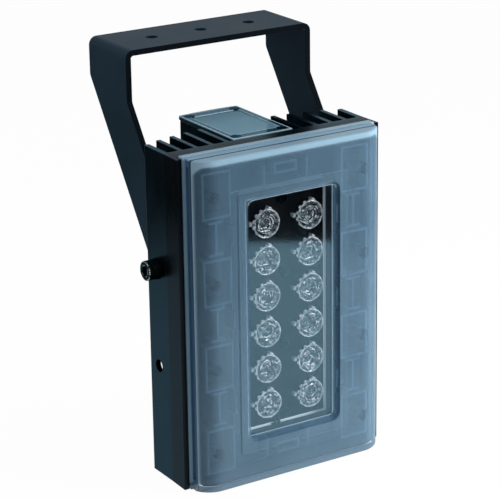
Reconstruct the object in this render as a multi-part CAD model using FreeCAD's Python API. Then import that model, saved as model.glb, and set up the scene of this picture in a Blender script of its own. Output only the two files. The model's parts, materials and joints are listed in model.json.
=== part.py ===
"""White light LED illuminator on a U bracket.

A black extruded heat sink carries a frosted front cover with a clear window over twelve lenses. A tubular
housing behind it holds the supply, and a bent steel strap lets the lamp tilt. Sizes are millimetres.
While modelling, x = 0 is the middle of the lamp, y = 0 is the front of the cover's flange with +y to the
back, and z = 0 is the cut lower end of the heat sink. The origin is then moved to the middle of the base.
"""
import FreeCAD, Part
import math
import os

from FreeCAD import Placement, Rotation, Vector

# How far a cutting shape runs past a face, how far fused shapes of one piece run into each other, and
# how close two coordinates are when they count as the same
THROUGH = 1.0
SINK = 0.5
SAME_PLACE = 1e-4

# Heat sink extrusion
BODY_WIDTH = 122.0
BODY_HEIGHT = 180.0
WALL_DEPTH = 34.0
WALL_THICKNESS = 3.0
WALL_FRONT_Y = 0.5
WALL_FLARE = 0.4
WALL_FLARE_DEPTH = 13.5
WALL_REBATE = 0.6
WALL_END_RADIUS = 1.0
BASE_FRONT_Y = 5.2
BASE_THICKNESS = 9.8
FIN_COUNT = 4
FIN_THICKNESS = 2.4
FIN_HOUSING_GAP = 4.0
SLOT_AIR = 0.3
FIN_CROWN_Y = 44.5
FIN_CROWN_RADIUS = 195.0
FIN_ROOT_RADIUS = 0.8
BED_MARGIN = 1.3
BED_RISE = 4.6

# Front cover
FLANGE_CLEARANCE = 0.3
FLANGE_THICKNESS = 4.0
FLANGE_CORNER = 0.8
DRIP_LIP = 1.0
COVER_END_OVERHANG = 0.4
COVER_SIDE_GAP = 2.0
COVER_SHOULDER_WIDTH = 11.4
COVER_SHOULDER_RADIUS = 13.6
COVER_END_RADIUS = 1.5
COVER_FRONT_WALL = 2.4
COVER_SIDE_WALL = 3.0
PARTING_GROOVE_WIDTH = 0.6
PARTING_GROOVE_DEPTH = 0.4
PARTING_GROOVE_GAP = 0.1
CHANNEL_DEPTH = 1.1
CHANNEL_WIDTH = 3.2
CHANNEL_START = 0.3
CHANNEL_TOP_BLOCK = 4.2
CHANNEL_BOTTOM_BLOCK = 6.0
RIDGE_WIDTH = 66.6
RIDGE_END_MARGIN = 17.8
RIDGE_RISE = 0.5
RIDGE_CORNER = 1.2
RIDGE_BORDER = 4.7
RIDGE_END_BORDER = 5.2
WINDOW_POCKET_CORNER = 5.0
WINDOW_SLOPE = 2.3
WINDOW_RECESS = 2.0
WINDOW_THICKNESS = 1.7
WINDOW_OPTIC_GAP = 0.5
WINDOW_BACKING_MARGIN = 1.8
BOSS_RADIUS = 3.2
BOSS_END_GAP = 0.2
BOSS_TIP_WALL = 3.2

# Cover gasket and the frame behind the frosted border
GASKET_EDGE_GAP = 0.4
GASKET_WIDTH = 3.6
GASKET_CORNER = 2.0
FRAME_CORNER = 1.5
FRAME_CLEARANCE = 0.6
FRAME_PLATE = 1.4
WELL_WALL = 1.6
WELL_MARGIN = 0.1
WELL_END_GAP = 0.2
PAD_COUNT = 4
PAD_WIDTH = 17.0
PAD_HEIGHT = 25.0
PAD_END_GAP = 3.0
PAD_EDGE_GAP = 3.0
PAD_TOP_GAP = 3.8
RIB = 1.2
I_RIB_WIDTH = 8.5
I_RIB_HEIGHT = 18.5
I_RIB_TOP_GAP = 4.7
LINK_RIB_HEIGHT = 10.0
LINK_RIB_OFFSET = 3.2
END_RIB_X = 12.4
END_RIB_GAP = 4.8
END_PAD_WIDTH = 14.0
END_PAD_HEIGHT = 6.0
BOSS_HOLE_CLEARANCE = 0.4

# Light sources
LED_ROWS = 6
LED_SIDE_MARGIN = 13.1
LED_END_MARGIN = 14.8
BOARD_THICKNESS = 1.6
BOARD_EDGE_GAP = 0.5
LED_BASE = 3.5
LED_BASE_HEIGHT = 0.9
LED_DOME_RADIUS = 1.4
OPTIC_RADIUS = 7.7
OPTIC_HEIGHT = 6.4
OPTIC_RIM = 1.3
OPTIC_RIM_WIDTH = 1.1
OPTIC_THROAT = 3.3
OPTIC_WAIST_RADIUS = 6.0
OPTIC_WAIST_HEIGHT = 3.2
OPTIC_FOOT_GAP = 0.7
OPTIC_POCKET_RADIUS = 2.4
OPTIC_POCKET_DEPTH = 3.2
OPTIC_POCKET_WALL = 2.6
OPTIC_FACE_RECESS = 0.5
OPTIC_RING_RADIUS = 3.2
OPTIC_TAB_COUNT = 3
OPTIC_TAB_WIDTH = 2.2
OPTIC_TAB_REACH = 0.8
OPTIC_TAB_STEP = 0.3

# Rear housing, its caps and seals
HOUSING_WIDTH = 35.2
HOUSING_DEPTH = 57.2
HOUSING_WALL = 2.4
HOUSING_CORNER = 1.2
CAP_SIDE_OVERHANG = 0.4
CAP_FRONT_GAP = 1.6
CAP_BACK_OVERHANG = 0.5
CAP_THICKNESS = 2.2
CAP_BOW = 0.9
CAP_PANEL_BORDER = 3.4
CAP_PANEL_RECESS = 0.5
CAP_PANEL_CORNER = 1.0
CAP_GASKET = 0.8
CAP_GASKET_INSET = 0.2
CAP_POST_INSET_SIDE = 1.2
CAP_POST_INSET_FRONT = 3.4
CAP_POST_INSET_BACK = 2.4
CAP_POST_RADIUS = 3.2
CAP_POST_WEB = 5.6
SCREW_POCKET_DEPTH = 12.0
BOARD_RAIL = 1.1
BOARD_RAIL_RISE = 2.0
BOARD_RAIL_GAP = 0.1
MOUNT_RIB_WIDTH = 10.0
MOUNT_RIB_RISE = 3.0

# Screws
SMALL_SCREW = 3.0
SMALL_HEAD = 5.6
SMALL_HEAD_HEIGHT = 1.9
SMALL_HEAD_EDGE = 0.8
SMALL_RECESS = 2.0
SMALL_RECESS_DEPTH = 1.0
THREAD_FIT = 0.03
CLEARANCE_HOLE = 0.2
COVER_SCREW_LENGTH = 18.0
BOARD_SCREW_LENGTH = 6.0
SCREW_END_ROOM = 1.0
BOARD_SCREW_ROWS = (1, 3)
CAP_SCREW_LENGTH = 9.0
HOUSING_SCREW = 4.0
HOUSING_SCREW_HEAD = 8.0
HOUSING_SCREW_PITCH = 42.0

# Cable gland in the housing's back wall
GLAND_Z = 24.0
GLAND_THREAD = 16.0
GLAND_HEX = 19.0
GLAND_COLLAR = 4.0
GLAND_THREAD_END = 1.0
GLAND_SPIGOT = 13.4
GLAND_SPIGOT_LENGTH = 3.0
GLAND_FIT = 0.05
GLAND_NUT_LENGTH = 14.0
GLAND_NUT_HEX_LENGTH = 7.8
GLAND_NUT_EDGE = 1.5
GLAND_NUT_TIP = 13.0
GLAND_BORE = 8.0
GLAND_SEAL_BORE = 7.0
GLAND_SEAL_OUTER = 11.0
GLAND_SEAL_LENGTH = 7.0
GLAND_LOCKNUT = 4.0

# Supply electronics
DRIVER_BOARD_OFFSET = 5.6
DRIVER_BOARD_LOW = 42.0
BOARD_RAIL_LEAD_IN = 4.0
DRIVER_BOARD_END_GAP = 0.3
TRANSFORMER = (13.0, 20.0, 22.0)
TRANSFORMER_Z = 118.0
WINDING = (15.0, 12.0, 19.8)
WINDING_CORNER = 1.5
CAPACITOR_RADIUS = 5.0
CAPACITOR_LENGTH = 16.0
CAPACITOR_EDGE = 0.8
CAPACITOR_Z = (84.0, 97.0)
TERMINAL_BLOCK = (10.0, 15.0, 12.0)
TERMINAL_WAYS = 3
TERMINAL_SCREW = 3.4
TERMINAL_SCREW_DEPTH = 2.0
TERMINAL_SCREW_OFFSET = 2.0
TERMINAL_ENTRY = 3.0
TERMINAL_ENTRY_DEPTH = 4.0
TERMINAL_ENTRY_INSET = 4.0
SENSOR_BOARD = (26.0, 30.0, 1.6)
SENSOR_RADIUS = 4.6
SENSOR_HEIGHT = 3.2
SENSOR_EDGE = 0.6
SENSOR_TOP_GAP = 3.0

# Leads from the supply to the light sources
LEAD_RADIUS = 0.7
LEAD_SPACING = 2.4
LEAD_SCREW_GAP = 0.5
LEAD_BELOW_WELL = 5.8
LEAD_BEND = 3.2
LEAD_HOLE = 7.0
LEAD_NOTCH_ROOM = 1.2
LEAD_AIR = 0.1
LEAD_RUN_UP_BOARD = 6.0
LEAD_ABOVE_BOARD_END = 4.0
LEAD_BEHIND_WALL = 9.6
GROMMET_FLANGE = 9.6
GROMMET_FLANGE_THICKNESS = 1.2
GROMMET_BORE = 4.4

# Pivots and bracket
PIVOT_FROM_BASE = 9.6
PIVOT_ROW_DROP = 1.0
PIVOT_OFFSET_Z = 27.0
PIVOT_SCREW = 6.0
PIVOT_HEAD = 10.6
PIVOT_HEAD_HEIGHT = 6.0
PIVOT_HEAD_EDGE = 0.6
PIVOT_SOCKET = 5.0
PIVOT_SOCKET_DEPTH = 3.0
PIVOT_SCREW_TIP = 0.3
PIVOT_HOLE_CLEARANCE = 0.5
LOCK_WASHER = 11.2
LOCK_WASHER_THICKNESS = 0.9
FRICTION_WASHER = 14.0
FRICTION_WASHER_THICKNESS = 1.1
WASHER_AIR = 0.05
RUNNING_FIT = 0.05
PIVOT_NUT_OUTER = 9.0
PIVOT_NUT_FLANGE = 12.0
PIVOT_NUT_FLANGE_THICKNESS = 1.6
STRAP_THICKNESS = 3.0
STRAP_WIDTH = 40.0
STRAP_BEND = 4.5
STRAP_SETBACK = 33.0
STRAP_RISE = 107.5
STRAP_HOLE = 6.5
STRAP_HOLE_PITCH = 30.0
STRAP_HOLE_COUNT = 3
ARM_SLANT = 34.5
ARM_BACK_OFFSET = 10.8
ARM_WIDTH = 29.0
ARM_BASE_GAP = 0.7
ARM_KNEE_RADIUS = 4.0

# Places worked out from the sizes above: heat sink and pivots
MID_Z = BODY_HEIGHT / 2
BASE_BACK_Y = BASE_FRONT_Y + BASE_THICKNESS
WALL_INNER_X = BODY_WIDTH / 2 - WALL_THICKNESS
REBATE_X = WALL_INNER_X + WALL_REBATE
PIVOT_Y = BASE_BACK_Y + PIVOT_FROM_BASE
PIVOT_ROW_Z = MID_Z - PIVOT_ROW_DROP
PIVOT_Z = PIVOT_ROW_Z + PIVOT_OFFSET_Z
ARM_OUTER_X = WALL_INNER_X - FRICTION_WASHER_THICKNESS - 2 * WASHER_AIR
ARM_INNER_X = ARM_OUTER_X - STRAP_THICKNESS
ARM_END_RADIUS = PIVOT_FROM_BASE - ARM_BASE_GAP
STRAP_FRONT_Y = PIVOT_Y + STRAP_SETBACK
STRAP_TOP_Z = PIVOT_Z + STRAP_RISE
PIVOT_NUT_INNER_X = ARM_INNER_X - PIVOT_NUT_FLANGE_THICKNESS
FIRST_FIN_X = PIVOT_NUT_INNER_X - PIVOT_SCREW_TIP - SLOT_AIR
FIN_PITCH = (FIRST_FIN_X - FIN_THICKNESS - HOUSING_WIDTH / 2 - FIN_HOUSING_GAP) / (FIN_COUNT - 1)
COVER_SCREW_X = FIRST_FIN_X - FIN_THICKNESS - (FIN_PITCH - FIN_THICKNESS) / 2

# Depths from the lenses forward to the cover's face
BED_FRONT_Y = BASE_FRONT_Y - BED_RISE
BOARD_FRONT_Y = BED_FRONT_Y - BOARD_THICKNESS
WINDOW_INNER_Y = BOARD_FRONT_Y - OPTIC_HEIGHT - WINDOW_OPTIC_GAP
WINDOW_OUTER_Y = WINDOW_INNER_Y - WINDOW_THICKNESS
COVER_FRONT_Y = WINDOW_OUTER_Y - WINDOW_RECESS
COVER_INNER_Y = COVER_FRONT_Y + COVER_FRONT_WALL
FLANGE_BACK_Y = FLANGE_THICKNESS
FRAME_PLATE_Y = BASE_FRONT_Y - FRAME_PLATE

# Widths and heights of the cover, its gasket, the frame and the well round the lenses
FLANGE_WIDTH = 2 * (REBATE_X - FLANGE_CLEARANCE)
COVER_WIDTH = 2 * (REBATE_X - COVER_SIDE_GAP)
COVER_HEIGHT = BODY_HEIGHT + 2 * COVER_END_OVERHANG
COVER_INNER_WIDTH = COVER_WIDTH - 2 * COVER_SIDE_WALL
COVER_INNER_HEIGHT = COVER_HEIGHT - 2 * COVER_SIDE_WALL
RIDGE_HEIGHT = BODY_HEIGHT - 2 * RIDGE_END_MARGIN
WINDOW_POCKET_WIDTH = RIDGE_WIDTH - 2 * RIDGE_BORDER
WINDOW_POCKET_HEIGHT = RIDGE_HEIGHT - 2 * RIDGE_END_BORDER
WINDOW_WIDTH = WINDOW_POCKET_WIDTH - 2 * WINDOW_SLOPE
WINDOW_HEIGHT = WINDOW_POCKET_HEIGHT - 2 * WINDOW_SLOPE
WELL_WIDTH = WINDOW_WIDTH + 2 * WELL_MARGIN
WELL_HEIGHT = WINDOW_HEIGHT + 2 * WELL_MARGIN
GASKET_OUTER_WIDTH = FLANGE_WIDTH - 2 * GASKET_EDGE_GAP
GASKET_OUTER_HEIGHT = BODY_HEIGHT - 2 * GASKET_EDGE_GAP
FRAME_WIDTH = COVER_INNER_WIDTH - 2 * FRAME_CLEARANCE
FRAME_HEIGHT = GASKET_OUTER_HEIGHT - 2 * GASKET_WIDTH - 2 * FRAME_CLEARANCE
PAD_CENTRE_X = COVER_INNER_WIDTH / 2 - PAD_EDGE_GAP - PAD_WIDTH / 2
PAD_PITCH = (FRAME_HEIGHT - PAD_HEIGHT - 2 * PAD_END_GAP) / (PAD_COUNT - 1)
LED_PITCH_X = WELL_WIDTH - 2 * LED_SIDE_MARGIN
LED_PITCH_Z = (WELL_HEIGHT - 2 * LED_END_MARGIN) / (LED_ROWS - 1)
LEAD_X = -(SMALL_HEAD / 2 + LEAD_SCREW_GAP + LEAD_RADIUS + LEAD_SPACING / 2)
LEAD_Z = MID_Z - WELL_HEIGHT / 2 - LEAD_BELOW_WELL

# Housing behind the heat sink
HOUSING_BACK_Y = BASE_BACK_Y + HOUSING_DEPTH
HOUSING_END = CAP_THICKNESS + CAP_GASKET
HOUSING_INNER_X = HOUSING_WIDTH / 2 - HOUSING_WALL
HOUSING_FRONT_INNER_Y = BASE_BACK_Y + HOUSING_WALL
HOUSING_BACK_INNER_Y = HOUSING_BACK_Y - HOUSING_WALL
CAP_WIDTH = HOUSING_WIDTH + 2 * CAP_SIDE_OVERHANG
DRIVER_BOARD_X = -HOUSING_INNER_X + DRIVER_BOARD_OFFSET
SENSOR_BOARD_Z = BODY_HEIGHT - HOUSING_END - SENSOR_TOP_GAP - SENSOR_HEIGHT - SENSOR_BOARD[2]

AXIS_X = Vector(1, 0, 0)
AXIS_Y = Vector(0, 1, 0)
AXIS_Z = Vector(0, 0, 1)


def span_box(x, y, z):
    """Box between pairs of limits along x, y and z."""
    size = [abs(pair[1] - pair[0]) for pair in (x, y, z)]
    return Part.makeBox(*size, Vector(min(x), min(y), min(z)))


def rod(radius, start, end):
    """Cylinder between two points."""
    run = end - start
    return Part.makeCylinder(radius, run.Length, start, run)


def rod_along_y(radius, x, z, y):
    return rod(radius, Vector(x, y[0], z), Vector(x, y[1], z))


def ring(outer, inner, start, end):
    return rod(outer, start, end).cut(rod(inner, start, end))


def rounded_outline(width, height, radius, y):
    """Closed wire with rounded corners in the plane at y, centred on the middle of the lamp."""
    x, z = width / 2, height / 2
    corners = [(x, z), (-x, z), (-x, -z), (x, -z)]
    wire = Part.makePolygon([Vector(cx, y, MID_Z + cz) for cx, cz in corners + corners[:1]])
    if radius <= 0:
        return wire
    face = Part.Face(wire)
    solid = face.extrude(AXIS_Y)
    solid = solid.makeFillet(radius, [edge for edge in solid.Edges if is_along(edge, AXIS_Y)])
    for side in solid.Faces:
        if abs(side.CenterOfMass.y - y) < SAME_PLACE:
            return side.OuterWire
    return wire


def slab(width, height, radius, y_front, y_back):
    """Rounded plate centred on the middle of the lamp, between two depths."""
    outline = rounded_outline(width, height, radius, y_front)
    return Part.Face(outline).extrude(Vector(0, y_back - y_front, 0))


def is_along(edge, axis):
    """True for a straight edge that runs along the axis."""
    if not isinstance(edge.Curve, (Part.Line, Part.LineSegment)):
        return False
    run = edge.Vertexes[-1].Point - edge.Vertexes[0].Point
    return abs(abs(run.normalize().dot(axis)) - 1) < SAME_PLACE


def edges_in_plane(shape, axis, value):
    """Edges that lie wholly in the plane where the axis coordinate has the value."""
    chosen = []
    for edge in shape.Edges:
        limits = edge.BoundBox
        low = Vector(limits.XMin, limits.YMin, limits.ZMin).dot(axis)
        high = Vector(limits.XMax, limits.YMax, limits.ZMax).dot(axis)
        if abs(low - value) < SAME_PLACE and abs(high - value) < SAME_PLACE:
            chosen.append(edge)
    return chosen


def round_uprights(shape, radius, at_y=None):
    """Fillet the straight edges that run along z, or only those at the given depth."""
    edges = [edge for edge in shape.Edges if is_along(edge, AXIS_Z)]
    if at_y is not None:
        edges = [edge for edge in edges if abs(edge.CenterOfMass.y - at_y) < SAME_PLACE]
    return shape.makeFillet(radius, edges)


def prism(points, start, thickness):
    """Polygon of (y, z) points in the plane x = start, given a thickness along x."""
    wire = Part.makePolygon([Vector(start, y, z) for y, z in points + points[:1]])
    return Part.Face(wire).extrude(Vector(thickness, 0, 0))


def mirrored(shape):
    return shape.mirror(Vector(0, 0, 0), AXIS_X)


def both_sides(shape):
    return [shape, mirrored(shape)]


def fuse_all(shapes):
    return shapes[0].multiFuse(shapes[1:]).removeSplitter()


def cut_all(shape, tools):
    return shape.cut(Part.makeCompound(tools))


def hexagon(across_flats, start, end):
    """Hexagonal bar between two points, with flats across the given size."""
    run = end - start
    corner = across_flats / math.sqrt(3)
    points = []
    for step in range(7):
        angle = math.radians(60 * step + 30)
        points.append(Vector(corner * math.cos(angle), corner * math.sin(angle), 0))
    bar = Part.Face(Part.makePolygon(points)).extrude(Vector(0, 0, run.Length))
    bar.Placement = Placement(start, Rotation(AXIS_Z, run))
    return bar


def tube_along(points, radius, bend):
    """Round wire through points, with a tangent arc of the given radius at each corner."""
    edges = []
    last = points[0]
    for before, corner, after in zip(points, points[1:], points[2:]):
        way_in = (corner - before).normalize()
        way_out = (after - corner).normalize()
        turn = way_in.getAngle(way_out)
        reach = bend * math.tan(turn / 2)
        start = corner - way_in * reach
        end = corner + way_out * reach
        inward = (way_out - way_in).normalize()
        middle = corner + inward * (bend / math.cos(turn / 2) - bend)
        edges.append(Part.LineSegment(last, start).toShape())
        edges.append(Part.Arc(start, middle, end).toShape())
        last = end
    edges.append(Part.LineSegment(last, points[-1]).toShape())
    path = Part.Wire(edges)
    section = Part.Wire(Part.makeCircle(radius, points[0], points[1] - points[0]))
    return path.makePipeShell([section], True, False)


def cover_screw_places():
    """Places of the cover's screws: one in each pad of both columns."""
    places = []
    for side in (-1, 1):
        for index in range(PAD_COUNT):
            offset = index - (PAD_COUNT - 1) / 2
            places.append((side * COVER_SCREW_X, MID_Z + offset * PAD_PITCH))
    return places


def board_screw_places():
    return [(0.0, MID_Z + side * row * LED_PITCH_Z) for side in (-1, 1) for row in BOARD_SCREW_ROWS]


def housing_screw_places():
    return [(0.0, MID_Z + step * HOUSING_SCREW_PITCH) for step in (-1, 0, 1)]


def cap_screw_places():
    x = HOUSING_INNER_X - CAP_POST_INSET_SIDE
    front = HOUSING_FRONT_INNER_Y + CAP_POST_INSET_FRONT
    back = HOUSING_BACK_INNER_Y - CAP_POST_INSET_BACK
    return [(side * x, y) for side in (-1, 1) for y in (front, back)]


def led_places():
    """Rows from the top down, left then right."""
    places = []
    for row in range(LED_ROWS):
        z = MID_Z + ((LED_ROWS - 1) / 2 - row) * LED_PITCH_Z
        places += [(-LED_PITCH_X / 2, z), (LED_PITCH_X / 2, z)]
    return places


def fin_tip_y(x):
    """The fins' back ends follow a shallow arc across the lamp."""
    return FIN_CROWN_Y - x * x / (2 * FIN_CROWN_RADIUS)


def body_extrusion():
    """One aluminium profile: side walls, base plate, fins and the raised bed for the light sources."""
    outer = BODY_WIDTH / 2
    wall = [
        Vector(REBATE_X, WALL_FRONT_Y, 0),
        Vector(outer + WALL_FLARE, WALL_FRONT_Y, 0),
        Vector(outer, WALL_FLARE_DEPTH, 0),
        Vector(outer, WALL_DEPTH, 0),
        Vector(WALL_INNER_X, WALL_DEPTH, 0),
        Vector(WALL_INNER_X, BASE_FRONT_Y, 0),
        Vector(REBATE_X, BASE_FRONT_Y, 0),
    ]
    wall = Part.Face(Part.makePolygon(wall + wall[:1])).extrude(AXIS_Z * BODY_HEIGHT)
    wall = round_uprights(wall, WALL_END_RADIUS, at_y=WALL_DEPTH)
    base_x = (-WALL_INNER_X - SINK, WALL_INNER_X + SINK)
    base = span_box(base_x, (BASE_FRONT_Y, BASE_BACK_Y), (0, BODY_HEIGHT))
    parts = [base] + both_sides(wall)
    for index in range(FIN_COUNT):
        x = FIRST_FIN_X - index * FIN_PITCH
        fin = span_box((x - FIN_THICKNESS, x), (BASE_BACK_Y - SINK, fin_tip_y(x)), (0, BODY_HEIGHT))
        parts += both_sides(fin)
    body = round_uprights(fuse_all(parts), FIN_ROOT_RADIUS, at_y=BASE_BACK_Y)
    bed = slab(WELL_WIDTH - 2 * BED_MARGIN, WELL_HEIGHT - 2 * BED_MARGIN, 0, BED_FRONT_Y, BASE_FRONT_Y + SINK)
    body = body.fuse(bed).removeSplitter()

    holes = []
    for z in (PIVOT_ROW_Z - PIVOT_OFFSET_Z, PIVOT_Z):
        hole = rod(PIVOT_SCREW / 2 + PIVOT_HOLE_CLEARANCE, Vector(WALL_INNER_X - THROUGH, PIVOT_Y, z),
                   Vector(outer + THROUGH, PIVOT_Y, z))
        holes += both_sides(hole)
    base_y = (BASE_FRONT_Y - THROUGH, BASE_BACK_Y + THROUGH)
    for x, z in cover_screw_places():
        holes.append(rod_along_y(SMALL_SCREW / 2 + CLEARANCE_HOLE, x, z, base_y))
        head_y = (BASE_BACK_Y, FIN_CROWN_Y + THROUGH)
        holes.append(rod_along_y(SMALL_HEAD / 2 + CLEARANCE_HOLE, x, z, head_y))
    for x, z in board_screw_places():
        pocket_y = (BED_FRONT_Y - THROUGH, BOARD_FRONT_Y + BOARD_SCREW_LENGTH + SCREW_END_ROOM)
        holes.append(rod_along_y(SMALL_SCREW / 2 + THREAD_FIT, x, z, pocket_y))
    for x, z in housing_screw_places():
        holes.append(countersunk_screw(x, z, CLEARANCE_HOLE))
    holes.append(rod_along_y(LEAD_HOLE / 2, LEAD_X, LEAD_Z, base_y))
    return cut_all(body, holes)


def countersunk_screw(x, z, clearance):
    """Housing screw from the bed's face, or the hole for it when given a clearance."""
    radius = HOUSING_SCREW / 2 + clearance
    head = HOUSING_SCREW_HEAD / 2 + clearance
    top = Vector(x, BED_FRONT_Y, z)
    end = Vector(x, HOUSING_FRONT_INNER_Y + MOUNT_RIB_RISE - SCREW_END_ROOM, z)
    cone = Part.makeCone(head, radius, head - radius, top, AXIS_Y)
    return rod(radius, top, end).fuse(cone)


def shoulder_drop(width, radius):
    """How far back an arc that leaves the front smoothly has come at the end of its width."""
    return radius - math.sqrt(radius ** 2 - width ** 2)


def domed_bar(width, height, front, shoulder, back):
    """Bar along z whose front falls back to both sides in arcs; the shoulder is an arc's width and radius."""
    arc_width, radius = shoulder
    half, low = width / 2, MID_Z - height / 2
    flat = half - arc_width
    side_y = front + shoulder_drop(arc_width, radius)
    lean = math.asin(arc_width / radius) / 2
    halfway = (flat + radius * math.sin(lean), front + radius * (1 - math.cos(lean)))
    outline = [Part.LineSegment(Vector(-flat, front, low), Vector(flat, front, low))]
    outline.append(Part.Arc(Vector(flat, front, low), Vector(*halfway, low), Vector(half, side_y, low)))
    outline.append(Part.LineSegment(Vector(half, side_y, low), Vector(half, back, low)))
    outline.append(Part.LineSegment(Vector(half, back, low), Vector(-half, back, low)))
    outline.append(Part.LineSegment(Vector(-half, back, low), Vector(-half, side_y, low)))
    outline.append(Part.Arc(Vector(-half, side_y, low), Vector(-halfway[0], halfway[1], low),
                            Vector(-flat, front, low)))
    wire = Part.Wire([edge.toShape() for edge in outline])
    return Part.Face(wire).extrude(AXIS_Z * height)


def front_cover():
    """Moulded cover: flange between the walls, domed frosted front and a recessed clear window."""
    shoulder = (COVER_SHOULDER_WIDTH, COVER_SHOULDER_RADIUS)
    parting_y = COVER_FRONT_Y + shoulder_drop(*shoulder)
    body = domed_bar(COVER_WIDTH, COVER_HEIGHT, COVER_FRONT_Y, shoulder, SINK)
    ends = [edge for z in (MID_Z - COVER_HEIGHT / 2, MID_Z + COVER_HEIGHT / 2)
            for edge in edges_in_plane(body, AXIS_Z, z) if edge.BoundBox.YMax < parting_y + SAME_PLACE]
    body = body.makeFillet(COVER_END_RADIUS, ends)
    flange = span_box((-FLANGE_WIDTH / 2, FLANGE_WIDTH / 2), (0, FLANGE_BACK_Y),
                      (-COVER_END_OVERHANG, BODY_HEIGHT + DRIP_LIP))
    flange = flange.makeFillet(FLANGE_CORNER, [edge for edge in flange.Edges if is_along(edge, AXIS_Y)])
    ridge_front = COVER_FRONT_Y - RIDGE_RISE
    ridge = slab(RIDGE_WIDTH, RIDGE_HEIGHT, RIDGE_CORNER, ridge_front, COVER_FRONT_Y + SINK)
    shell = fuse_all([body, flange, ridge])

    inner_shoulder = (COVER_SHOULDER_WIDTH - COVER_SIDE_WALL, COVER_SHOULDER_RADIUS - COVER_FRONT_WALL)
    cavity = domed_bar(COVER_INNER_WIDTH, COVER_INNER_HEIGHT, COVER_INNER_Y, inner_shoulder,
                       FLANGE_BACK_Y + THROUGH)
    backing = slab(WINDOW_POCKET_WIDTH + 2 * WINDOW_BACKING_MARGIN,
                   WINDOW_POCKET_HEIGHT + 2 * WINDOW_BACKING_MARGIN,
                   WINDOW_POCKET_CORNER + WINDOW_BACKING_MARGIN, WINDOW_OUTER_Y, WINDOW_INNER_Y)
    shell = shell.cut(cavity).fuse(backing)

    front = rounded_outline(WINDOW_POCKET_WIDTH, WINDOW_POCKET_HEIGHT, WINDOW_POCKET_CORNER, ridge_front)
    floor = rounded_outline(WINDOW_WIDTH, WINDOW_HEIGHT, WINDOW_POCKET_CORNER, WINDOW_OUTER_Y)
    shell = shell.cut(Part.makeLoft([front, floor], True, True))

    groove_front = parting_y + PARTING_GROOVE_GAP
    groove_back = groove_front + PARTING_GROOVE_WIDTH
    groove = slab(COVER_WIDTH + 2 * THROUGH, COVER_HEIGHT + 2 * THROUGH, 0, groove_front, groove_back)
    kept = slab(COVER_WIDTH - 2 * PARTING_GROOVE_DEPTH, COVER_HEIGHT - 2 * PARTING_GROOVE_DEPTH, 0,
                groove_front - THROUGH, groove_back + THROUGH)
    groove = groove.cut(kept)
    channel = span_box((COVER_WIDTH / 2 - CHANNEL_DEPTH, COVER_WIDTH / 2 + THROUGH),
                       (-CHANNEL_START - CHANNEL_WIDTH, -CHANNEL_START),
                       (MID_Z - COVER_HEIGHT / 2 + CHANNEL_BOTTOM_BLOCK,
                        MID_Z + COVER_HEIGHT / 2 - CHANNEL_TOP_BLOCK))
    shell = cut_all(shell, [groove] + both_sides(channel))

    bosses = []
    pilots = []
    for x, z in cover_screw_places():
        end_y = BASE_FRONT_Y - BOSS_END_GAP
        bosses.append(rod_along_y(BOSS_RADIUS, x, z, (COVER_INNER_Y - SINK, end_y)))
        pilots.append(rod_along_y(SMALL_SCREW / 2 + THREAD_FIT, x, z, (COVER_INNER_Y + BOSS_TIP_WALL, end_y)))
    shell = fuse_all([shell] + bosses)
    return cut_all(shell, pilots)


def cover_gasket():
    outer = slab(GASKET_OUTER_WIDTH, GASKET_OUTER_HEIGHT, GASKET_CORNER, FLANGE_BACK_Y, BASE_FRONT_Y)
    inner = slab(GASKET_OUTER_WIDTH - 2 * GASKET_WIDTH, GASKET_OUTER_HEIGHT - 2 * GASKET_WIDTH,
                 GASKET_CORNER, FLANGE_BACK_Y - THROUGH, BASE_FRONT_Y + THROUGH)
    return outer.cut(inner)


def open_box(x, z, y):
    """Four ribs round a rectangle of x and z limits, between two depths."""
    outer = span_box(x, y, z)
    inner_y = (y[0] - THROUGH, y[1] + THROUGH)
    inner = span_box((x[0] + RIB, x[1] - RIB), inner_y, (z[0] + RIB, z[1] - RIB))
    return outer.cut(inner)


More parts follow.
